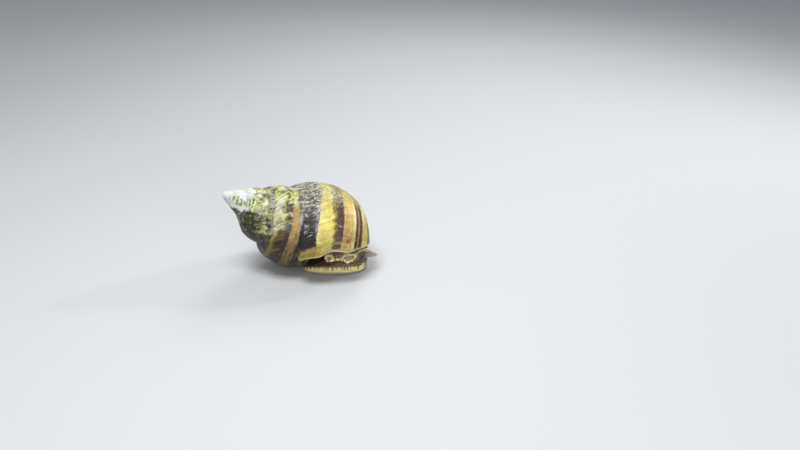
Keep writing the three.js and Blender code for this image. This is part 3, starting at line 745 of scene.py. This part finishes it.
def shell_masks(growth, angle, u, points, over):
    """All masks, from 0 to 1 but the first two, which are angles in degrees."""
    p = shell_places(growth, angle, u, points, over)
    front = window(p.back, 34, 44, 105, 130)
    seam_line = front * fall(p.back, 76, 92) * bell(u, -42.5, 1.8)
    cream = np.clip(bell(u, -18, 13) + 0.7 * bell(u, -43, 4), 0, 1) * fall(p.from_scar + 5 * p.patch, 8, 15)
    arc = p.second * bell(p.from_scar + 1.6 * p.ragged, -1.5, 0.9) * window(u, -46, -40, -4, 6)
    green = rise(p.sky + 0.15 * p.ragged, 0.22, 0.40) * fall(p.sky, 0.66, 0.80)
    spots = growth + p.ragged, u + p.ragged
    return {
        "band": band_angle(p),
        "growth": levelled(growth, u),
        "algae": algae_cover(p),
        "chalk": chalk_cover(p),
        "green": green * window(p.depth, 5.6, 6.6, 11.0, 13.5),
        "tip_end": 0.8 * rise(-p.depth + 0.3 * p.ragged, -6.6, -5.0) * fall(p.sky, 0.45, 0.8),
        "tip_ridge": 0.5 * fall(p.depth, 11.5, 13.5) * rise(p.sky + 0.1 * p.ragged, 0.82, 0.96),
        "crown": rise(p.sky + 0.12 * p.ragged, 0.63, 0.79) * rise(p.back, 45, 65),
        "pale_mark_and_glint": np.clip(0.85 * marks(*spots, PALE_MARKS_AND_GLINTS) + seam_line, 0, 0.9),
        "dark_mark": np.maximum(0.85 * marks(*spots, DARK_MARKS), 0.6 * arc),
        "seam": front * fall(u, -45.5, -43.5),
        "cream": p.past_scar * cream,
        "faded": 0.9 * rise(p.back, 42, 58) * window(u, 31, 35, 46, 50) * (1 - p.second),
        "stain_and_shade": stain_and_shade_cover(p),
        "dirt_and_shade": dirt_and_shade_cover(p),
        "rubbed": rise(p.sky + 0.3 * p.patch, 0.05, 0.75),
        "old": 0.85 * rise(p.turns, 0.5, 0.8) + 0.15 * rise(p.turns, 1.9, 2.2),
        "last_zone": last_zone(p),
        "lip_edge": 0.75 * rise(growth, -1.3, -0.5),
    }


def coil():
    """The outside of the shell: a grid of points, its masks, and which points lie below the tip's end."""
    g, t = np.meshgrid(ALONG, ACROSS, indexing="ij")
    angle, radius, depth, u = shell_profile(g, t)
    size = GROWTH ** (angle / 360.0)
    relief = shell_relief(g, u, in_shell(radius, depth, angle)) * size**0.8
    relief *= rise(t, 0.0, 0.03) * (1 - 0.7 * rise(g, -6, 0))
    layer = 0.035 * np.maximum(0, -(g + 700) / 360)
    points, over = wear(in_shell(radius + relief, depth, angle), layer)
    points[..., 2] = np.maximum(points[..., 2], FLOOR_GAP)
    return points, shell_masks(g, angle, u, points, over), depth > WEAR_DEPTH[0]


def tip_core():
    """The worn tip's core, which closes the open start of the coil: a grid of points and its masks."""
    way = np.linspace(0, 1, CORE_ROWS)[:, None]
    turn = np.arange(CORE_AROUND)[None, :] / CORE_AROUND * 2 * np.pi
    past_cap = np.maximum(way - CORE_CAP, 0) / (1 - CORE_CAP)
    depth = WEAR_DEPTH[0] + 0.10 + 0 * turn + past_cap * CORE_LENGTH
    radius = np.interp(depth, WEAR_DEPTH, WEAR_RADIUS) * np.minimum(1, way / CORE_CAP)
    radius = radius * (1 - 0.02 * np.cos(turn * 2)) - 0.05 * rise(depth, 4.6, 5.6)
    ring = NEAR * np.cos(turn)[..., None] + UNDER * np.sin(turn)[..., None]
    core = SHELL_TIP - UNDER * WEAR_LIFT + depth[..., None] * AXIS + radius[..., None] * ring
    core += 0.05 * noise(core, 0.8, 15, 3)[..., None] * ring
    # It widens and then narrows so that it stays inside the coil
    out = core - SHELL_TIP - depth[..., None] * AXIS
    limit = np.minimum(CORE_SLOPE * depth, CORE_SLOPE * CORE_WIDEST - CORE_TAPER * (depth - CORE_WIDEST))
    out *= np.minimum(1, np.maximum(limit, 0.05) / (np.linalg.norm(out, axis=-1) + 1e-9))[..., None]
    core = SHELL_TIP + depth[..., None] * AXIS + out
    growth = -1440 - 30 * depth
    return core, shell_masks(growth, growth, -20 + 0 * depth, core, 1.0 + 0 * depth)


def build_shell(material):
    points, masks, shown = coil()
    faces = grid_faces(*shown.shape)
    shown = shown.ravel()
    faces = [face for face in faces if any(shown[i] for i in face)]
    core, core_masks = tip_core()
    faces += grid_faces(CORE_ROWS, CORE_AROUND, wrap=True, start=shown.size)
    points = np.concatenate([points.reshape(-1, 3), core.reshape(-1, 3)])
    masks = {key: np.concatenate([value.ravel(), core_masks[key].ravel()]) for key, value in masks.items()}
    shell = make_mesh("shell", points, faces, material, masks=masks)
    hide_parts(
        "shell_apex", "shell_spire_whorl", "shell_penultimate_whorl",
        "shell_body_whorl", "shell_outer_lip", "shell_columella",
    )


def build_shell_inside(material):
    """The wall's inner face, from the lip's edge back into the mouth."""
    back = np.concatenate([np.linspace(0.0, -6.0, 10), np.linspace(-8.0, -120.0, 50)])
    g, t = np.meshgrid(back, ACROSS[::2], indexing="ij")
    wall = WALL_AT_LIP + WALL_GAIN * rise(-g, 0, 25)
    angle, radius, depth, _ = shell_profile(g, t, grow=-wall)
    points = in_shell(radius, depth, angle)
    angle, radius, depth, _ = shell_profile(g[:1] * 0, t[:1])
    rim = in_shell(radius, depth, angle)
    middle = (rim + points[:1]) / 2 - 0.10 * MOUTH_NORMAL
    stack = np.concatenate([rim, middle, points])
    edge = (np.arange(len(stack)) < 4)[:, None] * np.ones(stack.shape[1])
    faces = grid_faces(*stack.shape[:2])
    inner = make_mesh("shell_inside", stack, faces, material, masks={"rim": edge})


build_shell(shell_material())
build_shell_inside(inner_shell_material())


# Fields: how far points lie outside a form, in mm, less than 0 inside


def oval_field(points, centre, radii):
    q = (points - centre) / radii
    size = np.linalg.norm(q, axis=-1)
    return size * (size - 1) / (np.linalg.norm(q / radii, axis=-1) + 1e-9)


def oval_side(x, y, half_x, half_y):
    """Distance to the side of an upright form with an oval outline."""
    edge = np.hypot(x / half_x, y / half_y) + 1e-6
    return np.hypot(x, y) * (edge - 1) / edge


def limb_field(points, path, radii):
    """A round limb along a path, with a radius at each of its points."""
    best = np.inf
    for a, b, start, end in zip(path, path[1:], radii, radii[1:]):
        a, along = np.asarray(a, float), np.subtract(b, a).astype(float)
        t = np.clip(((points - a) @ along) / (along @ along), 0, 1)
        away = np.linalg.norm(points - a - t[..., None] * along, axis=-1)
        best = np.minimum(best, away - mix(start, end, t))
    return best


def soft_join(a, b, radius):
    h = np.clip(0.5 + 0.5 * (b - a) / radius, 0, 1)
    return b + (a - b) * h - radius * h * (1 - h)


def soft_meet(a, b, radius):
    """What two forms share, with its edge rounded."""
    edge = np.hypot(np.maximum(a + radius, 0), np.maximum(b + radius, 0))
    return np.minimum(np.maximum(a, b), -radius) + edge


def spline(points, count):
    """Points along a smooth curve through the given ones."""
    p = np.asarray(points, float)
    p = np.vstack([2 * p[0] - p[1], p, 2 * p[-1] - p[-2]])
    spans = len(p) - 3
    out = []
    for value in np.linspace(0, spans, count):
        i = min(int(value), spans - 1)
        t = value - i
        a, b, c, d = p[i : i + 4]
        square, cube = 2 * a - 5 * b + 4 * c - d, 3 * b - a - 3 * c + d
        out.append(0.5 * (2 * b + (c - a) * t + square * t**2 + cube * t**3))
    return np.array(out)


# Soft parts, sized as in the solids, in mm
FOOT_LENGTH, FOOT_WIDTH, FOOT_HEIGHT = 15.7, 9.4, 2.3
FOOT_BACK, FOOT_FRONT, FOOT_TURN = 0.9, 1.5, np.radians(-4.5)
TAIL_SHIFT, TAIL_NARROWING = 0.9, 0.3
TRUNK = np.array([[1.6, -0.2, 1.2], [1.8, -1.6, 4.2], [1.8, -3.6, 7.6], [1.8, -5.0, 9.6]])
TRUNK_ALONG, TRUNK_ACROSS = 4.1, 3.0
HEAD, HEAD_RADII = np.array([5.2, -1.2, 3.6]), np.array([2.2, 2.2, 1.8])
SNOUT = [[5.6, -1.2, 3.0], [6.9, -1.25, 2.6]]
EYE, EYE_RADIUS = (6.5, 1.75, 3.9), 0.42
EYE_RINGS, EYE_AROUND = 16, 28
FEELERS = {
    1: [(6.3, 1.0, 4.0), (7.1, 1.15, 3.9), (8.2, 1.34, 3.45), (9.2, 1.52, 2.95), (9.8, 1.63, 2.66)],
    -1: [(6.3, 1.0, 3.7), (7.1, 1.15, 3.9), (8.2, 1.34, 4.02), (9.2, 1.52, 4.12), (9.8, 1.63, 4.18)],
}
FEELER_RADII = [0.66, 0.60, 0.54, 0.44, 0.34]
LOBE = [(4.4, 5.2, 6.2), (5.8, 4.3, 6.9), (7.0, 3.2, 6.5), (7.9, 1.4, 4.8)]
MANTLE_INSET, MANTLE_DEEP = 0.95, 1.4
LID = np.array([-3.0, -0.9, 3.2])
LID_LENGTH, LID_WIDTH, LID_TILT = 7.6, 5.6, np.radians(-26)
LID_CENTRE = (-0.25, -0.1)  # where its rings start, in half lengths and half widths from its middle
LID_DISH, LID_MIDDLE, LID_EDGE = 0.30, 0.22, 0.05  # how deep it is dished, and half its thickness
LID_ROWS, LID_AROUND = 26, 72


def on_side(places, side):
    """Points of the head given for the snail's left, taken to the side 1 or -1."""
    return np.array([(x, HEAD[1] + side * y, z) for x, y, z in places])


def foot_place(points):
    """Along and across the foot, each 1 at its edge, and how far outside its outline."""
    c, s = np.cos(-FOOT_TURN), np.sin(-FOOT_TURN)
    x = points[..., 0] * c - points[..., 1] * s
    y = points[..., 0] * s + points[..., 1] * c
    along = x / (FOOT_LENGTH / 2)
    tail = np.clip(-along, 0, 1) ** 1.5
    half = FOOT_WIDTH / 2 * (1 - TAIL_NARROWING * tail)
    z = points[..., 2]
    half = half * (1 - 0.05 * bell(z, 0, 0.25) - 0.035 * bell(z, 0.95, 0.22))
    across = (y + TAIL_SHIFT * tail) / half
    edge = (np.abs(along) ** 2.7 + np.abs(across) ** 2.083) ** (1 / 2.35) + 1e-6
    reach = np.hypot(x, y)
    return along, across, reach * (edge - 1) / edge


def foot_field(points):
    along, across, outside = foot_place(points)
    t = np.minimum(np.abs(along), 1)
    end = np.where(along < 0, FOOT_BACK, FOOT_FRONT)
    top = mix(FOOT_HEIGHT, end, t**3) * (1.03 - 0.10 * np.minimum(across**2, 1))
    return soft_meet(outside, points[..., 2] - top, 0.5)


def trunk_field(points):
    z = points[..., 2]
    x = points[..., 0] - np.interp(z, TRUNK[:, 2], TRUNK[:, 0])
    y = points[..., 1] - np.interp(z, TRUNK[:, 2], TRUNK[:, 1])
    side = oval_side(x, y, TRUNK_ALONG, TRUNK_ACROSS)
    return soft_meet(side, np.maximum(z - TRUNK[-1, 2], TRUNK[0, 2] - z), 0.3)


def mantle_field(points):
    q = points - SHELL_TIP
    depth = q @ AXIS
    across, under = q @ NEAR, q @ UNDER
    angle = np.degrees(np.arctan2(under, across))
    size = GROWTH ** (angle / 360.0)
    dr = np.hypot(across, under) - CENTRE_RADIUS * size
    dz = depth - CENTRE_DEPTH * size
    x = dr * np.cos(LEAN) + dz * np.sin(LEAN)
    y = -dr * np.sin(LEAN) + dz * np.cos(LEAN)
    side = oval_side(x, y, HALF_WIDTH * size - MANTLE_INSET, HALF_HEIGHT * size - MANTLE_INSET)
    inside = (points - MOUTH_POINT) @ MOUTH_NORMAL
    slab = np.maximum(MANTLE_DEEP - inside, inside - MANTLE_DEEP - 2.6)
    return np.where(np.abs(angle) < 80, soft_meet(side, slab, 0.5), 9.0)


def mouth_rim(u, inset, drop):
    """Points on the plane of the mouth, drawn in from the lip and then let down."""
    angle = lip_angle(u)
    points = in_shell(*section(angle, u, -inset), angle)
    off = (points - MOUTH_POINT) @ MOUTH_NORMAL
    return points - (off + drop)[:, None] * MOUTH_NORMAL


def hung(places, inset):
    """Points let down from the mouth's plane, given as section angle and drop."""
    return np.array([mouth_rim(np.array([u]), inset, drop)[0] for u, drop in places])


# The mantle's edge hangs from the mouth as a thin curtain: its hem and two curled folds,
# as section angles of the mouth and how far they hang below its plane
HEM = [
    (-1.9, 0.6), (-0.7, 1.15), (3.0, 1.4), (7.0, 1.45), (12.5, 1.46), (18.0, 1.7), (22.5, 2.2),
    (26.3, 2.75), (30.6, 2.75), (35.5, 2.5), (40.7, 2.15), (43.3, 1.7),
]
LEFT_CURL = [(-1.4, 0.46), (0.8, 0.17), (3.9, 0.16), (6.7, 0.43), (7.9, 0.92), (5.2, 1.13)]
RIGHT_CURL = [
    (20.4, 1.53), (21.9, 1.04), (25.8, 0.92), (31.3, 1.05), (36.9, 1.34), (40.5, 1.79), (37.3, 2.16),
]


def frill_lines():
    hem = spline(hung(HEM, 1.8), 34)
    t = np.linspace(0, 1, 34)
    hem = hem + np.stack([0 * t, 0.16 * np.sin(t * 47), 0.07 * np.sin(t * 61)], -1)
    top = spline(hung([(u, -0.7) for u, _ in HEM], 1.5), 34)
    radii = 0.25 + 0.06 * np.sin(t * 71) + 0.04 * np.sin(t * 33)
    curls = [spline(hung(c, 1.45), 18) for c in (LEFT_CURL, RIGHT_CURL)]
    return hem, top, radii, curls


HEM_LINE, CURTAIN_TOP, HEM_RADII, CURLS = frill_lines()


def near(points, low, high, field):
    """A field worked out only in a box round its form, with a large value elsewhere."""
    where = np.all((points > low) & (points < high), axis=-1)
    out = np.full(points.shape[:-1], 9.0)
    if where.any():
        out[where] = field(points[where])
    return out


def frill_fields(points):
    edge = limb_field(points, HEM_LINE, HEM_RADII)
    for curl in CURLS:
        edge = soft_join(edge, limb_field(points, curl, [0.22] * len(curl)), 0.08)
    sheet = np.inf
    for a, b in zip(HEM_LINE[::2], CURTAIN_TOP[::2]):
        sheet = np.minimum(sheet, limb_field(points, [a, b], [0.2, 0.3]))
    return edge, sheet


def lobe_fields(points, side):
    path = spline(on_side(LOBE, side), 9)
    t = np.linspace(0, 1, 9)
    rim = limb_field(points, path, 0.34 - 0.06 * np.cos(2 * np.pi * t))
    root = np.array([3.9, HEAD[1] + side * 1.9, 4.2])
    web = np.inf
    for place in path:
        web = np.minimum(web, limb_field(points, [place, mix(place, root, 0.45), root], [0.2, 0.42, 1.5]))
    return rim, web


def head_fields(points):
    head = soft_join(oval_field(points, HEAD, HEAD_RADII), limb_field(points, SNOUT, [1.5, 1.0]), 0.5)
    lobes = np.inf
    for side in (-1, 1):
        forward, out, height = EYE
        stalk = on_side([(forward, out - 0.42, height - 0.12)], side)[0]
        head = soft_join(head, oval_field(points, stalk, np.array([0.6, 0.72, 0.6])), 0.35)
        rim, web = lobe_fields(points, side)
        lobes = np.minimum(lobes, rim)
        head = soft_join(head, web, 0.5)
    return soft_join(head, lobes, 0.18), lobes


def feeler_field(points):
    t = np.linspace(0, 4, 12)
    radii = np.interp(t, range(5), FEELER_RADII)
    return np.minimum(*(limb_field(points, spline(on_side(FEELERS[s], s), 12), radii) for s in (-1, 1)))


def flesh_fields(points):
    """Distance to the whole skin, and to the forms that are coloured on their own."""
    foot = foot_field(points)
    body = soft_join(foot, trunk_field(points), 1.0)
    lobes = near(points, (2, -8.5, 2), (11, 6, 9.5), lambda p: head_fields(p)[1])
    head = near(points, (1.2, -8.5, -1), (11.5, 6, 9.5), lambda p: head_fields(p)[0])
    feelers = near(points, (4.5, -5, 2), (12, 2.6, 6.5), feeler_field)
    head = soft_join(head, feelers, 0.3)
    body = soft_join(body, head, 0.9)
    frill_box = (-5.0, -11.5, 3.5), (6.5, -5.5, 10.5)
    frill = near(points, *frill_box, lambda p: frill_fields(p)[0])
    sheet = near(points, *frill_box, lambda p: frill_fields(p)[1])
    mantle = mantle_field(points)
    whole = soft_join(body, soft_join(mantle, soft_join(frill, sheet, 0.12), 0.5), 0.35)
    parts = {"foot": foot, "lobe": lobes, "feeler": feelers, "frill": frill, "sheet": sheet, "mantle": mantle}
    return np.maximum(whole, -points[..., 2]), parts


COARSE = 4  # a first look at the field takes every fourth point
REACH = 1.9  # and the rest only where it is within this many coarse steps of 0


def surface_of(field, low, high, step):
    """A quad mesh of the surface where a field is 0, over a box."""
    counts = [int(np.ceil((b - a) / step)) + 1 for a, b in zip(low, high)]
    axes = [a + step * np.arange(n) for a, n in zip(low, counts)]
    rough = [a[::COARSE] for a in axes]
    seen = field(np.stack(np.meshgrid(*rough, indexing="ij"), -1))
    value = seen.repeat(COARSE, 0).repeat(COARSE, 1).repeat(COARSE, 2)
    value = value[: counts[0], : counts[1], : counts[2]].astype(np.float32)
    for i, x in enumerate(axes[0]):
        close = np.argwhere(np.abs(value[i]) < COARSE * step * REACH)
        slab = np.column_stack([np.full(len(close), x), axes[1][close[:, 0]], axes[2][close[:, 1]]])
        value[i][tuple(close.T)] = field(slab)
    inside = value < 0
    cells = tuple(n - 1 for n in counts)
    corners = [(i, j, k) for i in (0, 1) for j in (0, 1) for k in (0, 1)]
    total = sum(
        inside[i : i + cells[0], j : j + cells[1], k : k + cells[2]].astype(np.int8) for i, j, k in corners
    )
    where = np.argwhere((total > 0) & (total < 8))
    number = np.full(cells, -1, np.int64)
    number[tuple(where.T)] = np.arange(len(where))
    place, hits = np.zeros((len(where), 3)), np.zeros(len(where))
    for a in corners:
        for direction in range(3):
            if a[direction]:
                continue
            b = list(a)
            b[direction] = 1
            va, vb = value[tuple((where + a).T)], value[tuple((where + b).T)]
            cross = (va < 0) != (vb < 0)
            t = np.where(cross, va / np.where(cross, va - vb, 1), 0)
            point = where + a + t[:, None] * (np.array(b) - a)
            place[cross] += point[cross]
            hits[cross] += 1
    points = np.array(low) + step * place / hits[:, None]
    faces = []
    for direction in range(3):
        e, f = (direction + 1) % 3, (direction + 2) % 3
        here = [slice(1, -1)] * 3
        here[direction] = slice(0, -1)
        there = list(here)
        there[direction] = slice(1, None)
        a, b = inside[tuple(here)], inside[tuple(there)]
        for sign in (True, False):
            at = np.argwhere((a != b) & (a == sign)) + [0 if d == direction else 1 for d in range(3)]
            ring = []
            for de, df in ((-1, -1), (0, -1), (0, 0), (-1, 0)):
                cell = at.copy()
                cell[:, e] += de
                cell[:, f] += df
                ring.append(number[tuple(cell.T)])
            faces.append(np.stack(ring if sign else ring[::-1], -1))
    return points, np.concatenate(faces)


def neighbours(count, faces):
    pairs = np.concatenate([faces[:, [i, (i + 1) % 4]] for i in range(4)])
    pairs = np.concatenate([pairs, pairs[:, ::-1]])
    return pairs, np.bincount(pairs[:, 0], minlength=count)[:, None]


def relax(points, pairs, degree, amount):
    total = np.zeros_like(points)
    np.add.at(total, pairs[:, 0], points[pairs[:, 1]])
    return points + amount * (total / degree - points)


def gradient(field, points, reach=0.03):
    steps = np.eye(3) * reach
    return np.stack([(field(points + s) - field(points - s)) / (2 * reach) for s in steps], -1)


def skin_field(points):
    return flesh_fields(points)[0]


# Colours of the skin
# Dark olive skin, dark enough to stand in as painted shade on the trunk and the foot's top under the shell
DARK_SKIN_AND_SHADE = [(0.35, (0.035, 0.028, 0.014)), (0.5, (0.10, 0.08, 0.035)), (0.62, (0.22, 0.17, 0.075))]
FOOT_SIDE = [
    (0.0, (0.13, 0.10, 0.11)), (0.10, (0.34, 0.29, 0.31)), (0.27, (0.34, 0.29, 0.29)),
    (0.33, (0.40, 0.36, 0.10)), (0.40, (0.92, 0.82, 0.26)), (0.58, (0.97, 0.82, 0.34)),
    (0.80, (0.98, 0.84, 0.46)), (0.99, (0.42, 0.28, 0.11)),
]
LOBE_TAN = [(0.35, (0.22, 0.13, 0.05)), (0.6, (0.58, 0.40, 0.18))]
FEELER_GREY = [(0.35, (0.20, 0.15, 0.11)), (0.65, (0.46, 0.38, 0.30))]
# Maroon of the mantle, darkened as painted shade inside the mouth
MAROON_AND_SHADE = [(0.35, (0.05, 0.018, 0.014)), (0.65, (0.17, 0.06, 0.035))]
FRILL_CREAM = [
    (0.30, (0.12, 0.07, 0.02)), (0.44, (0.46, 0.34, 0.10)), (0.56, (0.72, 0.60, 0.30)),
    (0.7, (0.84, 0.76, 0.52)),
]
SHEET_GREY = [(0.35, (0.05, 0.03, 0.015)), (0.5, (0.17, 0.12, 0.07)), (0.6, (0.30, 0.25, 0.15))]


def flesh_material():
    n = Nodes("snail_skin")
    spot = n.place()
    grain = n.noise(spot, 2.4, 6.0, 0.6)
    fine = n.noise(spot, 7.0, 5.0, 0.6)
    cloud = n.noise(spot, 0.7, 4.0, 0.6)
    # The foot's side: a cream rim with brown marks, a yellow band, a lilac edge below
    height, along = n.attribute("rise"), n.attribute("along")
    wavy = n.shaken(height, grain, 0.25)
    brown = n.noise(n.joined(n.times(along, 17.0), height), 1.0, 3.0, 0.6)
    brown = n.times(n.range(brown, 0.5, 0.58), n.range(wavy, 0.5, 0.68), 0.85)
    side = n.blend(brown, n.ramp(wavy, FOOT_SIDE), (0.17, 0.08, 0.035))
    side = n.blend(n.range(along, 0.80, 0.97, 0.0, 0.8), side, (0.17, 0.17, 0.12))
    # The arch of the neck lobe is tan, the mantle maroon darkened as painted shade inside the mouth, its
    # frill cream; the rest of the skin dark olive, partly painted shade under the shell
    maroon_and_shade = n.ramp(grain, MAROON_AND_SHADE)
    sheet = n.covered(n.ramp(cloud, SHEET_GREY), hung_high=maroon_and_shade)
    colour = n.covered(
        n.ramp(n.weighted((cloud, 0.6), (grain, 0.4)), DARK_SKIN_AND_SHADE),
        foot_side=side, sole=(0.30, 0.26, 0.25), lobe=n.ramp(grain, LOBE_TAN),
        feeler=n.ramp(fine, FEELER_GREY), eye_ring=(0.045, 0.030, 0.018),
        mantle=maroon_and_shade, sheet=sheet, frill=n.ramp(grain, FRILL_CREAM),
    )
    normal = n.raised(n.weighted((grain, 1.0), (fine, 0.5)), 0.0003, 0.5)
    return n.finish(
        colour, n.range(fine, 0.3, 0.7, 0.22, 0.42), normal,
        Subsurface_Weight=0.18, Subsurface_Radius=(1.0, 0.55, 0.3), Subsurface_Scale=0.0006,
        Coat_Weight=0.35, Coat_Roughness=0.12,
    )


FLESH_LOW, FLESH_HIGH = (-8.3, -10.2, -0.3), (10.7, 5.3, 11.0)
FLESH_STEP = 0.12


def flesh_surface():
    """The skin's mesh, drawn onto its field as it is evened out, with its normals."""
    points, faces = surface_of(skin_field, FLESH_LOW, FLESH_HIGH, FLESH_STEP)
    pairs, degree = neighbours(len(points), faces)
    for _ in range(3):
        points = relax(points, pairs, degree, 0.5)
        slope = gradient(skin_field, points)
        size = np.maximum((slope**2).sum(-1), 0.2)
        points = points - np.clip(skin_field(points) / size, -0.1, 0.1)[:, None] * slope
    slope = gradient(skin_field, points)
    return points, faces, slope / (np.linalg.norm(slope, axis=-1)[:, None] + 1e-9)


def build_flesh(material):
    points, faces, normal = flesh_surface()
    _, parts = flesh_fields(points)

    def nearness(key, reach, soft):
        return fall(parts[key], reach, reach + soft)

    along, across, outside = foot_place(points)
    z = points[:, 2]
    ring = noise(points * (0.4, 0.4, 1.6), 0.8, 41, 3)
    smooth = (1 - nearness("feeler", 0.0, 0.3)) * (1 - nearness("mantle", 0.05, 0.4))
    folds = 0.05 * ring * rise(z, 2.0, 3.0) * smooth
    pleats = 0.035 * noise(np.stack([along * 16, across * 1.2, z * 0.3], -1), 1.0, 43, 2)
    pleats *= window(z, 0.9, 1.5, 2.3, 2.9)
    points = points + normal * (folds + pleats + 0.018 * noise(points, 0.45, 44, 2))[:, None]
    points[:, 2] = np.maximum(points[:, 2], 0.0)

    eyes = [on_side([EYE], side)[0] for side in (-1, 1)]
    eye_distance = np.minimum(*(np.linalg.norm(points - eye, axis=-1) for eye in eyes))
    top = mix(FOOT_HEIGHT, np.where(along < 0, FOOT_BACK, FOOT_FRONT), np.minimum(np.abs(along), 1) ** 3)
    on_side_of_foot = rise(outside, -1.3, -0.7) * fall(z, top + 0.05, top + 0.35)
    masks = {
        "rise": np.clip(z / top, 0, 1),
        "along": along,
        "foot_side": nearness("foot", 0.02, 0.3) * on_side_of_foot,
        "eye_ring": 0.8 * fall(eye_distance, 0.55, 1.15),
        "sheet": nearness("sheet", 0.03, 0.2),
        "hung_high": rise((points - MOUTH_POINT) @ MOUTH_NORMAL, -0.75, -0.35),
        "sole": (z < 0.02).astype(float),
        "lobe": nearness("lobe", 0.02, 0.14),
        "feeler": nearness("feeler", 0.03, 0.4),
        "mantle": nearness("mantle", 0.05, 0.3),
        "frill": nearness("frill", 0.03, 0.15),
    }
    skin = make_mesh("snail_body", points, faces, material, masks=masks)
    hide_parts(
        "foot", "trunk", "head", "snout", "eye_stalk_left", "eye_stalk_right", "tentacle_left",
        "tentacle_right", "neck_lobe_left", "neck_lobe_right", "mantle", "mantle_edge",
    )


EYE_BLACK = [(0.35, (0.012, 0.007, 0.004)), (0.7, (0.05, 0.028, 0.016))]
LID_BROWN = [(0.35, (0.055, 0.022, 0.016)), (0.5, (0.13, 0.055, 0.035)), (0.68, (0.26, 0.14, 0.075))]


def build_eyes():
    n = Nodes("snail_eye")
    colour = n.ramp(n.noise(n.place(), 3.0, 3.0), EYE_BLACK)
    material = n.finish(colour, 0.25, Specular_IOR_Level=0.3, Coat_Weight=0.3, Coat_Roughness=0.06)
    tilt = np.linspace(0, np.pi, EYE_RINGS)[:, None]
    turn = np.arange(EYE_AROUND)[None, :] / EYE_AROUND * 2 * np.pi
    ball = [np.sin(tilt) * np.cos(turn), np.sin(tilt) * np.sin(turn), np.cos(tilt) + 0 * turn]
    faces = grid_faces(EYE_RINGS, EYE_AROUND, wrap=True)
    for name, side in (("left", 1), ("right", -1)):
        points = on_side([EYE], side)[0] + EYE_RADIUS * np.stack(ball, -1)
        eye = make_mesh("eye_of_snail_" + name, points, faces, material)
        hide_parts("eye_" + name)


def build_lid():
    """The horny lid on the foot's back: a thin dished plate with rings of growth off its middle."""
    n = Nodes("horny_lid")
    grain = n.noise(n.place(), 3.0, 5.0)
    rings = n.noise(n.joined(n.times(n.attribute("ring"), 14.0), 0.0), 1.0, 3.0, 0.7)
    normal = n.raised(n.plus(rings, n.times(grain, 0.3)), 0.0002, 0.6)
    roughness = n.range(grain, 0.3, 0.7, 0.3, 0.5)
    material = n.finish(n.ramp(rings, LID_BROWN), roughness, normal, Coat_Weight=0.3)
    t = np.linspace(0, 1, LID_ROWS)[:, None]
    turn = np.arange(LID_AROUND)[None, :] / LID_AROUND * 2 * np.pi
    x = mix(LID_CENTRE[0], np.cos(turn), t) * LID_LENGTH / 2
    y = mix(LID_CENTRE[1], np.sin(turn), t) * LID_WIDTH / 2
    dish = LID_DISH * (t**2 - 0.5) + 0.022 * np.sin(t * 60) * t
    c, s = np.cos(LID_TILT), np.sin(LID_TILT)
    layers = []
    for side in (1, -1):
        z = dish + side * mix(LID_MIDDLE, LID_EDGE, t**4)
        layers.append(LID + np.stack([x * c + z * s, y, -x * s + z * c], -1))
    points = np.concatenate([layers[0], layers[1][::-1]])
    faces = grid_faces(2 * LID_ROWS, LID_AROUND, wrap=True)
    both = np.concatenate([t, t[::-1]]) + 0 * turn
    lid = make_mesh("operculum_plate", points, faces, material, masks={"ring": both})
    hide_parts("operculum")


# Floor, light and camera


FLOOR_REACH = 3
SKY_COLOUR, SKY_STRENGTH = (0.86, 0.90, 0.96, 1), 0.36
# Each lamp's name, place in metres, size and power. They shine at the lit point.
LAMPS = [
    ("key", (-0.05, -0.07, 0.26), 0.10, 0.59), ("fill", (0.08, -0.27, 0.09), 0.14, 0.26),
    ("rim", (0.09, 0.20, 0.20), 0.12, 0.25), ("edge", (0.22, 0.07, 0.14), 0.03, 0.17),
]
LIT_POINT = Vector((-0.008, 0, 0.01))
LENS, SENSOR = 40.41, 36.0
CAMERA_PLACE = (-0.0089, -0.196981, 0.102373)
CAMERA_RIGHT = np.array([0.99206, -0.12573, 0.0])
CAMERA_UP = np.array([0.05285, 0.41701, 0.90737])
CAMERA_FORWARD = np.array([0.11408, 0.90016, -0.42034])


def floor_and_light():
    mesh = bpy.data.meshes.new("floor")
    corners = [(x * FLOOR_REACH, y * FLOOR_REACH, 0) for x, y in ((-1, -1), (1, -1), (1, 1), (-1, 1))]
    mesh.from_pydata(corners, [], [(0, 1, 2, 3)])
    mesh.materials.append(Nodes("pale_floor").finish((0.56, 0.57, 0.58), 0.7))
    floor = placed("floor", mesh)

    world = bpy.data.worlds.new("studio")
    bpy.context.scene.world = world
    world.use_nodes = True
    sky = world.node_tree.nodes["Background"].inputs
    sky[0].default_value = SKY_COLOUR
    sky[1].default_value = SKY_STRENGTH

    for name, place, size, power in LAMPS:
        light = bpy.data.lights.new(name, "AREA")
        light.size = size
        light.energy = power
        lamp = placed(name, light)
        lamp.location = place
        lamp.rotation_euler = (LIT_POINT - Vector(place)).to_track_quat("-Z", "Y").to_euler()
    bpy.context.scene.view_settings.view_transform = "Standard"


def camera():
    data = bpy.data.cameras.new("camera")
    data.sensor_width = SENSOR
    data.lens = LENS
    data.clip_start = 0.001
    view = placed("camera", data)
    turn = Matrix(np.column_stack([CAMERA_RIGHT, CAMERA_UP, -CAMERA_FORWARD]).tolist()).to_4x4()
    view.matrix_world = Matrix.Translation(Vector(CAMERA_PLACE)) @ turn
    bpy.context.scene.camera = view


build_flesh(flesh_material())
build_eyes()
build_lid()
floor_and_light()
camera()
